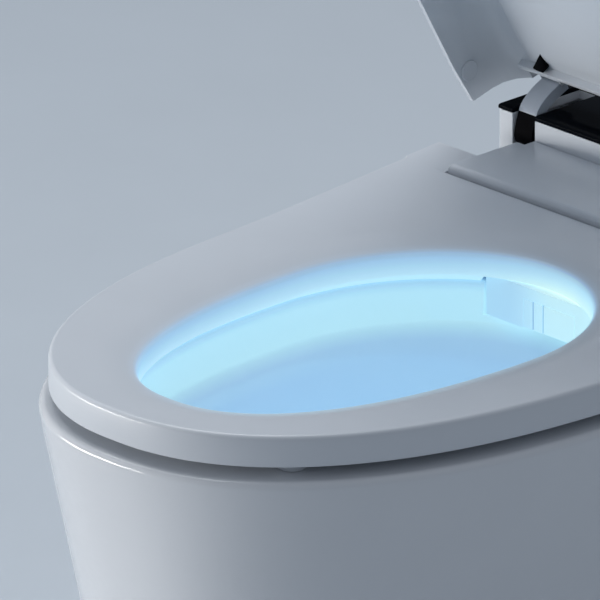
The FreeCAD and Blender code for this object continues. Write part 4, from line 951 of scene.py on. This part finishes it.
@dataclass
class Seat:
    """The heated seat: a crowned upper shell that dips to the opening and laps over a flat underside."""

    plan: RimPlan = RimPlan()
    opening: OpeningPlan = OpeningPlan()
    setback: float = 0.0068
    bottom_z: float = 0.4025
    split_z: float = 0.409
    top_z: float = 0.424
    notch_y: float = 0.110
    notch_half: float = 0.1595
    back_y: float = 0.145
    dip: float = 0.0065
    dip_width: float = 0.030
    edge_z: float = 0.4031
    edge_round: Round = (0.005, 6)
    rear_round: Round = (0.0015, 3)
    hem_round: Round = (0.0008, 2)
    base_round: Round = (0.0012, 2)
    lap: float = 0.003
    play: float = 0.0002
    rib: Span = (0.0105, 0.015)
    rib_depth: float = 0.0067
    rib_root: float = 0.0004
    rib_end: float = 0.0456
    rib_fade: float = 0.002
    lip_z: float = 0.4022
    lip_round: Round = (0.0065, 6)
    # Painted light from the bowl on the dip, the lip, the opening's wall and the rib, stronger near the lamp
    # at the rear.
    lip_glow: float = 0.6
    lip_power: int = 12
    wall_glow: float = 1.0
    lamp: Span = (0.025, 0.045)
    lamp_reach: float = 0.085
    lamp_gain: float = 0.3
    top_rings: int = 7
    dip_rings: int = 8
    rear_steps: int = 22
    ear_steps: int = 4
    slack: float = 0.001
    rear_facing: float = 0.7

    def outline(self, inset: float) -> Outline:
        """The seat's outline without its ears.

        Args:
            inset: How far it is drawn in.

        Returns:
            The outline.
        """
        grow, rear = -self.setback - inset, self.notch_y - inset
        half = self.plan.nose(grow, grow) + self.plan.sides(grow, rear)
        corner = (self.notch_half, rear)
        half += resample([(self.plan.side_x(rear, grow), rear), corner], self.ear_steps)[1:]
        return whole(half + resample([corner, (0.0, rear)], self.rear_steps)[1:])

    def egg(self, grow: float) -> Outline:
        """The opening's outline with the seat's stations."""
        return [self.opening.spot(spot, grow) for spot in self.outline(0.0)]

    def between(self, share: float) -> Ring:
        """A ring of the flat top, part of the way from the outer edge to the dip."""
        pairs = zip(self.outline(0.0), self.egg(self.dip_width))
        return [Vector((a + (c - a) * share, b + (d - b) * share, self.top_z)) for (a, b), (c, d) in pairs]

    def upper(self) -> Mesh:
        """The upper shell, from its outer lower edge over the top to the opening's lower edge.

        Returns:
            The closed mesh.
        """
        loft = RingLoft(level(self.outline(self.lap), self.split_z))
        for inset, z in ((self.lap, self.edge_z), (0.0, self.edge_z), (0.0, self.top_z)):
            loft.grow(level(self.outline(inset), z))
        hem, edge = len(loft.rings) - 2, len(loft.rings) - 1
        for step in range(1, self.top_rings + 1):
            loft.grow(self.between(step / self.top_rings))
        for step in range(1, self.dip_rings + 1):
            share = step / self.dip_rings
            drop = self.dip * (1 - math.cos(math.pi / 2 * share))
            ring = level(self.egg(self.dip_width * (1 - share)), self.top_z - drop)
            # Painted light from the bowl rises down the dip to the lip and the opening's wall.
            loft.grow(ring, self.lit(ring, self.lip_glow * share ** self.lip_power))
        lip = len(loft.rings) - 1
        for grow in (0.0, self.lap):
            ring = level(self.egg(grow), self.lip_z)
            loft.grow(ring, self.lit(ring, self.wall_glow))
        loft.grow(level(self.egg(self.lap), self.split_z))
        loft.join_ends()
        self.extend_ears(loft)
        self.round_top(loft, edge)
        loft.round(hem, *self.hem_round)
        loft.round(lip, *self.lip_round)
        return faced_out(loft.mesh)

    def lit(self, ring: Ring, base: float) -> list[float]:
        """The painted light of a ring, stronger near the lamp at the rear.

        Args:
            ring: The ring's spots.
            base: The glow far from the lamp.

        Returns:
            The glow of each spot.
        """
        lamp = Vector(self.lamp)
        nearness = [max(1 - (spot.xy - lamp).length / self.lamp_reach, 0) for spot in ring]
        return [base * (1 + self.lamp_gain * share) for share in nearness]

    def round_top(self, loft: RingLoft, number: int) -> None:
        """Rounds the top edge, fully at the nose and sides, and finely where it meets the step.

        Args:
            loft: The upper shell.
            number: The ring that is the edge.
        """
        edges = loft.edges(number)
        rear = {edge for edge in edges if all(vert.co.y > self.notch_y - self.slack for vert in edge.verts)}
        round_edges(loft.mesh, [edge for edge in edges if edge not in rear], *self.edge_round)
        round_edges(loft.mesh, [edge for edge in rear if edge.is_valid], *self.rear_round)

    def lower(self) -> Mesh:
        """The flat underside between the upper shell's edges, with a rib that keeps the bowl's light in and
        carries painted light on its inner face.

        Returns:
            The closed mesh.
        """
        top, inset = self.split_z - self.play, self.lap + self.play
        near, far = self.rib
        loft = RingLoft(level(self.outline(inset), self.bottom_z))
        loft.grow(level(self.outline(inset), top))
        loft.grow(level(self.egg(inset), top))
        loft.grow(level(self.egg(inset), self.bottom_z))
        # Painted light on the rib's inner face.
        loft.grow(level(self.egg(near), self.bottom_z), self.wall_glow)
        loft.grow(self.rib_edge(near), self.wall_glow)
        loft.grow(self.rib_edge(far))
        loft.grow(level(self.egg(far), self.bottom_z))
        loft.join_ends()
        loft.round(0, *self.base_round)
        return faced_out(loft.mesh)

    def rib_edge(self, grow: float) -> Ring:
        """The rib's lower edge, which ends beside the wand panel.

        Args:
            grow: Growth of the opening.

        Returns:
            The edge's spots.
        """
        spots = []
        for (x, y), (_, near_y) in zip(self.egg(grow), self.egg(self.rib[0])):
            share = clamp((self.rib_end - near_y) / self.rib_fade)
            spots.append(Vector((x, y, self.bottom_z - self.rib_root - self.rib_depth * share)))
        return spots

    def extend_ears(self, loft: RingLoft) -> None:
        """Draws the two rear ears out beside the step.

        Args:
            loft: The upper shell.
        """
        count = len(loft.rings[0])
        start = self.plan.nose_steps + self.plan.side_steps
        width = self.plan.side_x(self.notch_y, -self.setback) - self.notch_half
        spread = self.plan.side_x(self.back_y, 0) - self.plan.side_x(self.notch_y, 0)
        for side in Side:
            stations = {side.value * number % count for number in range(start, start + self.ear_steps + 1)}
            faces = [face for face in loft.mesh.faces
                     if all(vert[loft.station] in stations for vert in face.verts)
                     and abs(face.normal.y) > self.rear_facing
                     and face.calc_center_median().y > self.notch_y - self.slack]
            verts = new_verts(bmesh.ops.extrude_face_region(loft.mesh, geom=faces))
            bmesh.ops.delete(loft.mesh, geom=faces, context="FACES_ONLY")
            bmesh.ops.translate(loft.mesh, verts=verts, vec=ALONG * (self.back_y - self.notch_y))
            for vert in verts:
                share = (abs(vert.co.x) - self.notch_half) / width
                if abs(vert.co.x) > self.notch_half + self.slack:
                    vert.co.x += side.value * share * spread

    def build(self) -> None:
        """Makes both shells."""
        make_piece("seat_top", self.upper(), "white_gloss", "seat", ["seat_upper_shell"])
        make_piece("seat_underside", self.lower(), "white_gloss", "seat", ["seat_lower_shell"])


@dataclass
class NozzleBay:
    """The flat panel over the wand recess in the bowl's rear wall, and the nose cap of each wand."""

    opening: OpeningPlan = OpeningPlan()
    face_y: float = 0.044
    half: float = 0.0525
    low_z: float = 0.3735
    high_z: float = 0.4017
    fold_depth: float = 0.016
    fold_least: float = 0.0022
    fold_grow: float = 0.0095
    door: Span = (-0.0190, 0.0276)
    door_top: float = 0.3935
    rear_cap: Span = (-0.0007, 0.0272)
    front_cap: Span = (-0.0188, -0.0019)
    cap_z: Span = (0.3741, 0.3932)
    thickness: float = 0.0020
    edge_round: Round = (0.0004, 3)
    edge_angle: float = 60.0
    groove_x: float = -0.0102
    groove_depth: float = 0.0010
    groove_halves: Span = (0.0003, 0.0007)
    wand_x: float = 0.012
    tip: Span = (0.0680, 0.3791)
    stem_radii: Span = (0.0050, 0.0046)
    stem_steps: int = 32
    stem_sunk: float = 0.0005
    # Painted light on the panel and caps, brighter toward the lamp, and less on the groove, back and edges,
    # which paints them darker.
    glow: Span = (0.83, 1.12)
    glow_x: Span = (-0.035, 0.010)
    inner_glow: float = 0.3
    rows: int = 6
    panel_columns: int = 48
    cap_columns: int = 14

    def sheet(self, x: Span, z: Span, columns: int) -> Mesh:
        """A flat grid across and up, still to be cut and folded.

        Args:
            x: Its ends across.
            z: Its ends in height.
            columns: Number of columns.

        Returns:
            The grid, with its height along Y.
        """
        mesh = bmesh.new()
        mesh.verts.layers.float.new(GLOW)
        bmesh.ops.create_grid(mesh, x_segments=columns, y_segments=self.rows, size=0.5)
        bmesh.ops.scale(mesh, verts=mesh.verts, vec=Vector((x[1] - x[0], z[1] - z[0], 1)))
        bmesh.ops.translate(mesh, verts=mesh.verts, vec=Vector(((x[0] + x[1]) / 2, (z[0] + z[1]) / 2, 0)))
        return mesh

    @staticmethod
    def score(mesh: Mesh, axis: Vector, places: Iterable[float]) -> None:
        """Cuts the grid along lines."""
        for place in places:
            split(mesh, mesh.verts[:] + mesh.edges[:] + mesh.faces[:], axis, place)

    def lit(self, x: float) -> float:
        """The painted light of a face at a place across, which rises smoothly toward the lamp."""
        share = clamp((x - self.glow_x[0]) / (self.glow_x[1] - self.glow_x[0]))
        return self.glow[0] + (self.glow[1] - self.glow[0]) * share * share * (3 - 2 * share)

    def fold(self, mesh: Mesh) -> None:
        """Stands the grid up, folds its ends back, thickens it and softens its edges.

        Args:
            mesh: The grid.
        """
        layer = mesh.verts.layers.float[GLOW]
        for vert in mesh.verts:
            x, rise, sink = vert.co
            z = clamp(rise, self.low_z, self.high_z)
            vert.co = Vector((x, self.face_y + abs(rise - z) * self.reach(x) + sink, z))
            # Painted light on the face; the groove, back and edges get less, which paints them darker.
            vert[layer] = self.inner_glow if sink else self.lit(x)
        for vert in new_verts(bmesh.ops.extrude_face_region(mesh, geom=mesh.faces[:])):
            front, top, foot = (abs(a - b) < NEAR for a, b in (
                (vert.co.y, self.face_y), (vert.co.z, self.high_z), (vert.co.z, self.low_z)))
            vert.co += self.thickness * Vector((0, front or not (top or foot), foot - top))
            vert[layer] = self.inner_glow
        faced_out(mesh)
        sharp = [edge for edge in mesh.edges if edge.calc_face_angle(0.0) > math.radians(self.edge_angle)]
        round_edges(mesh, sharp, *self.edge_round)

    def reach(self, x: float) -> float:
        """How much of a fold's depth there is room for in front of the seat's rib."""
        return max(self.opening.rear_y(x, self.fold_grow) - self.face_y, self.fold_least) / self.fold_depth

    def panel(self) -> Mesh:
        """The panel, folded back above and below, with a doorway for both wands.

        Returns:
            The mesh.
        """
        ends = self.low_z - self.fold_depth, self.high_z + self.fold_depth
        mesh = self.sheet((-self.half, self.half), ends, self.panel_columns)
        self.score(mesh, ACROSS, self.door)
        self.score(mesh, ALONG, (self.low_z, self.door_top, self.high_z))
        left, right = self.door
        gone = [face for face in mesh.faces if left < face.calc_center_median().x < right
                and face.calc_center_median().y < self.door_top]
        bmesh.ops.delete(mesh, geom=gone, context="FACES")
        self.fold(mesh)
        return mesh

    def cap(self, side: Side) -> Mesh:
        """The cap on a wand's nose: a plate on a short stem, the left one with a groove.

        Args:
            side: Which wand.

        Returns:
            The mesh.
        """
        ends = self.rear_cap if side is Side.RIGHT else self.front_cap
        mesh = self.sheet(ends, self.cap_z, self.cap_columns)
        if side is Side.LEFT:
            narrow, wide = self.groove_halves
            self.score(mesh, ACROSS, (self.groove_x + step for step in (-wide, -narrow, narrow, wide)))
            for vert in mesh.verts:
                if abs(vert.co.x - self.groove_x) < (narrow + wide) / 2:
                    vert.co.z = self.groove_depth
        self.fold(mesh)
        tip_y, tip_z = self.tip
        start = self.face_y + self.thickness - self.stem_sunk
        middle = Matrix.Translation((side.value * self.wand_x, (start + tip_y) / 2, tip_z))
        root, nose = self.stem_radii
        bmesh.ops.create_cone(mesh, cap_ends=True, segments=self.stem_steps, radius1=root, radius2=nose,
                              depth=tip_y - start, matrix=middle @ Matrix.Rotation(-math.pi / 2, 4, "X"))
        return mesh

    def build(self) -> None:
        """Makes the panel and both caps."""
        make_piece("nozzle_panel", self.panel(), "white_gloss", "pedestal")
        make_piece("rear_wand_cap", self.cap(Side.RIGHT), "white_gloss", "rear_wand")
        make_piece("front_wand_cap", self.cap(Side.LEFT), "white_gloss", "front_wand")


# The lid's axis, and its turn from shut to the frame's raised lid.
LID_HINGE = Vector((0, 0.2123, 0.4227))
LID_TURN = Matrix.Rotation(math.radians(-57.0), 3, "X")


def raised(mesh: Mesh) -> Mesh:
    """Raises a mesh that was made with the lid shut."""
    bmesh.ops.rotate(mesh, verts=mesh.verts, cent=LID_HINGE, matrix=LID_TURN)
    return mesh


@dataclass
class LidLiner:
    """The liner inside the lid: a panel that swells gently from its edge."""

    plan: RimPlan = RimPlan()
    grow: float = -0.0293
    back_y: float = 0.1694
    ceiling_z: float = 0.4427
    low_z: float = 0.4399
    lip: float = 0.0004
    swell: float = 0.018
    rings: int = 6
    back_steps: int = 24

    def outline(self, inset: float) -> Outline:
        """The liner's outline with the lid shut.

        Args:
            inset: How far it is drawn in.

        Returns:
            The outline.
        """
        grow, back = self.grow - inset, self.back_y - inset
        half = self.plan.nose(grow, grow) + self.plan.sides(grow, back)
        return whole(half + resample([half[-1], (0.0, back)], self.back_steps)[1:])

    def build(self) -> None:
        """Makes the liner shut, then raises it with the lid."""
        loft = RingLoft(level(self.outline(0.0), self.ceiling_z))
        for step in range(self.rings + 1):
            share = step / self.rings
            drop = self.lip + (self.ceiling_z - self.low_z - self.lip) * math.sin(math.pi / 2 * share)
            loft.grow(level(self.outline(self.swell * share), self.ceiling_z - drop))
        loft.cap(0)
        loft.cap(-1)
        make_piece("lid_lining", raised(faced_out(loft.mesh)), "white_satin", "lid", ["lid_inner_liner"])


@dataclass
class SlotShadePlates:
    """Black plates that paint the shade in the lid's arm slots, beside the rear corners of the liner."""

    corners: tuple[tuple[float, float, float], ...] = (
        (0.157, 0.152, 0.4396), (0.1565, 0.165, 0.4382), (0.164, 0.1718, 0.4372), (0.1712, 0.1690, 0.4376))
    thickness: float = 0.0028
    edge_round: Round = (0.0006, 3)

    def build(self) -> None:
        """Makes both plates shut, then raises them with the lid."""
        for side in Side:
            ring = [Vector((side.value * x, y, z)) for x, y, z in self.corners]
            loft = RingLoft(ring)
            loft.grow([spot + UP * self.thickness for spot in ring])
            loft.cap(0)
            loft.cap(-1)
            faced_out(loft.mesh)
            loft.round(0, *self.edge_round)
            make_piece(f"slot_shade_plate_{side.name.lower()}", raised(loft.mesh), "black_plastic", "lid")


@dataclass
class CadNodes:
    """The CAD's own nodes: merged copies with softened edges for those that show, and a finish for each."""

    smoothed: tuple[str, ...] = (
        "front_cover", "rear_housing", "glass_top_panel", "lid_outer_shell", "lid_bumpers", "lid_arm_left",
        "lid_arm_right", "neck_bracket_left", "neck_bracket_right", "knob_base", "knob_dial", "knob_button",
        "rear_wash_wand", "front_wash_wand", "nozzle_guide", "seat_bumpers", "water_inlet", "cable_gland")
    flat_angle: float = 0.6
    edge_round: Round = (0.0006, 2)
    edge_angle: float = 40.0
    near: float = 0.0006
    glass_low: float = 0.440
    glass_cut: float = 0.003
    housing_top: float = 0.4394
    passage: Span = (0.055, 0.180)
    passage_z: Span = (0.425, 0.4288)
    lip_z: float = 0.433
    lip_near: float = 0.0004
    lip_y: float = 0.16
    lip_half: float = 0.1855
    lip_cut: float = 0.004

    def thin_glass(self, mesh: Mesh) -> None:
        """Thins the glass from below."""
        low = [vert for vert in mesh.verts if abs(vert.co.z - self.glass_low) < self.near]
        bmesh.ops.translate(mesh, verts=low, vec=UP * self.glass_cut)

    def raise_housing(self, mesh: Mesh) -> None:
        """Raises the housing's top to the thinner glass, and lowers the passage behind the step.

        Args:
            mesh: The housing's mesh.
        """
        top = [vert for vert in mesh.verts if vert.co.z > self.housing_top]
        bmesh.ops.translate(mesh, verts=top, vec=UP * self.glass_cut)
        (half, front), (low, high) = self.passage, self.passage_z
        for vert in mesh.verts:
            x, y, z = vert.co
            if abs(abs(x) - half) < self.near and abs(y - front) < self.near and z > low:
                vert.co.z = min(z, high)

    def shorten_lip(self, mesh: Mesh) -> None:
        """Draws the lid's rear lip up, in the plane of its rear wall.

        Args:
            mesh: The lid's mesh.
        """
        lip = []
        for vert in mesh.verts:
            x, y, z = LID_TURN.transposed() @ (vert.co - LID_HINGE) + LID_HINGE
            if abs(z - self.lip_z) < self.lip_near and y > self.lip_y and abs(x) < self.lip_half:
                lip.append(vert)
        bmesh.ops.translate(mesh, verts=lip, vec=LID_TURN @ (UP * self.lip_cut))

    def smooth(self, node: str, body: str, slot: str) -> None:
        """Makes the merged copy of a node.

        Args:
            node: The node's name.
            body: The body that it rides on.
            slot: Its material slot.
        """
        mesh = bmesh.new()
        mesh.from_mesh(frame["nodes"][node].data)
        bmesh.ops.remove_doubles(mesh, verts=mesh.verts, dist=NEAR)
        bmesh.ops.dissolve_limit(mesh, angle_limit=math.radians(self.flat_angle), verts=mesh.verts,
                                 edges=mesh.edges)
        trims = {"glass_top_panel": self.thin_glass, "rear_housing": self.raise_housing,
                 "lid_outer_shell": self.shorten_lip}
        if node in trims:
            trims[node](mesh)
        piece = make_piece(node + "_dressed", mesh, slot, body, [node])
        soften = piece.modifiers.new("soft_edge", "BEVEL")
        soften.width, soften.segments = self.edge_round
        soften.limit_method, soften.angle_limit = "ANGLE", math.radians(self.edge_angle)
        soften.harden_normals = True

    def build(self) -> None:
        """Makes the copies, and gives every node its finish."""
        record = frame["record"]
        slots = {part["node"]: part["material_slot"] for part in record["subparts"]}
        bodies = {node: body for body, nodes in record["behaviour"]["bodies"].items() for node in nodes}
        for node in self.smoothed:
            self.smooth(node, bodies[node], slots[node])
        for node, piece in frame["nodes"].items():
            material = FINISHES[slots[node]].material()
            piece.data.materials.clear()
            piece.data.materials.append(material)
            if slots[node] == "light_lens":
                light = piece.data.attributes.new(GLOW, "FLOAT", "POINT")
                light.data.foreach_set("value", [1.0] * len(piece.data.vertices))
            LOG.info("%s: %s", node, material.name)


def toward(azimuth: float, elevation: float) -> Vector:
    """The direction from the object to a viewer at an azimuth and elevation in degrees."""
    turn, rise = math.radians(azimuth), math.radians(elevation)
    return Vector((math.sin(turn) * math.cos(rise), -math.cos(turn) * math.cos(rise), math.sin(rise)))


def stand(data: bpy.types.ID, aim: Sequence[float], way: Vector, distance: float) -> bpy.types.Object:
    """Stands a camera or lamp some way from a place that it faces.

    Args:
        data: The camera or lamp.
        aim: The place.
        way: The direction from there.
        distance: How far away.

    Returns:
        The new object.
    """
    thing = bpy.data.objects.new(data.name, data)
    thing.location = Vector(aim) + way * distance
    thing.rotation_euler = (-way).to_track_quat("-Z", "Y").to_euler()
    bpy.context.scene.collection.objects.link(thing)
    return thing


@dataclass(frozen=True)
class Lamp:
    """A soft lamp that faces the object from an azimuth and elevation; its angles are in degrees."""

    name: str
    way: Span
    distance: float
    aim_z: float
    size: Span
    power: float
    colour: Colour
    beam: float = 180.0
    aim_y: float = -0.05

    def build(self) -> None:
        """Adds the lamp."""
        data = bpy.data.lights.new(self.name, "AREA")
        data.shape, data.energy, data.color = "RECTANGLE", self.power, self.colour
        data.size, data.size_y = self.size
        data.spread = math.radians(self.beam)
        stand(data, (0, self.aim_y, self.aim_z), toward(*self.way), self.distance)


@dataclass
class Studio:
    """The pale floor, soft lamps and long-lens camera."""

    azimuth: float = 46.03
    elevation: float = 20.98
    target: tuple[float, float, float] = (-0.0574, -0.1152, 0.424)
    distance: float = 16.0
    clip_end: float = 80.0
    pixels_per_metre: float = 1589.0
    image_size: float = 600.0
    floor_half: float = 14.0
    floor_finish: Finish = Finish("pale_floor", (0.60, 0.65, 0.70), (0.6, 0.7), Grain.SMOOTH, shade=0.02)
    room_colour: Colour = (0.80, 0.88, 1.0)
    room_strength: float = 0.33
    lamps: tuple[Lamp, ...] = (
        Lamp("low_key", (-48.0, 0.0), 2.6, 0.17, (2.7, 0.28), 8.6, (1.0, 0.985, 0.96), 60.0),
        Lamp("top", (-110.0, 68.0), 3.0, 0.35, (2.2, 2.2), 52.0, (0.94, 0.97, 1.0)))

    def camera(self) -> None:
        """Sets the camera at the photograph's viewing angle."""
        data = bpy.data.cameras.new("long_lens")
        data.type = "PERSP"
        data.lens = data.sensor_width * self.distance * self.pixels_per_metre / self.image_size
        data.clip_end = self.clip_end
        way = toward(self.azimuth, self.elevation)
        bpy.context.scene.camera = stand(data, self.target, way, self.distance)

    def world(self) -> None:
        """Fills the room with an even, faintly blue light."""
        world = bpy.data.worlds.new("soft_room")
        world.use_nodes = True
        back = world.node_tree.nodes["Background"]
        back.inputs["Color"].default_value = (*self.room_colour, 1.0)
        back.inputs["Strength"].default_value = self.room_strength
        bpy.context.scene.world = world

    def floor(self) -> None:
        """Lays the pale floor."""
        mesh = bmesh.new()
        bmesh.ops.create_grid(mesh, x_segments=1, y_segments=1, size=self.floor_half)
        data = bpy.data.meshes.new("floor")
        mesh.to_mesh(data)
        mesh.free()
        data.materials.append(self.floor_finish.material())
        floor = bpy.data.objects.new("floor", data)
        bpy.context.scene.collection.objects.link(floor)

    def build(self) -> None:
        """Sets up the whole studio."""
        self.camera()
        self.world()
        self.floor()
        for lamp in self.lamps:
            lamp.build()
        bpy.context.scene.view_settings.view_transform = "Standard"


def main() -> None:
    """Builds the studio and the pieces in order."""
    logging.basicConfig(level=logging.INFO, format="%(message)s")
    for part in (Studio(), CadNodes(), Pedestal(), Seat(), NozzleBay(), LidLiner(), SlotShadePlates()):
        part.build()


if __name__ == "__main__":
    main()
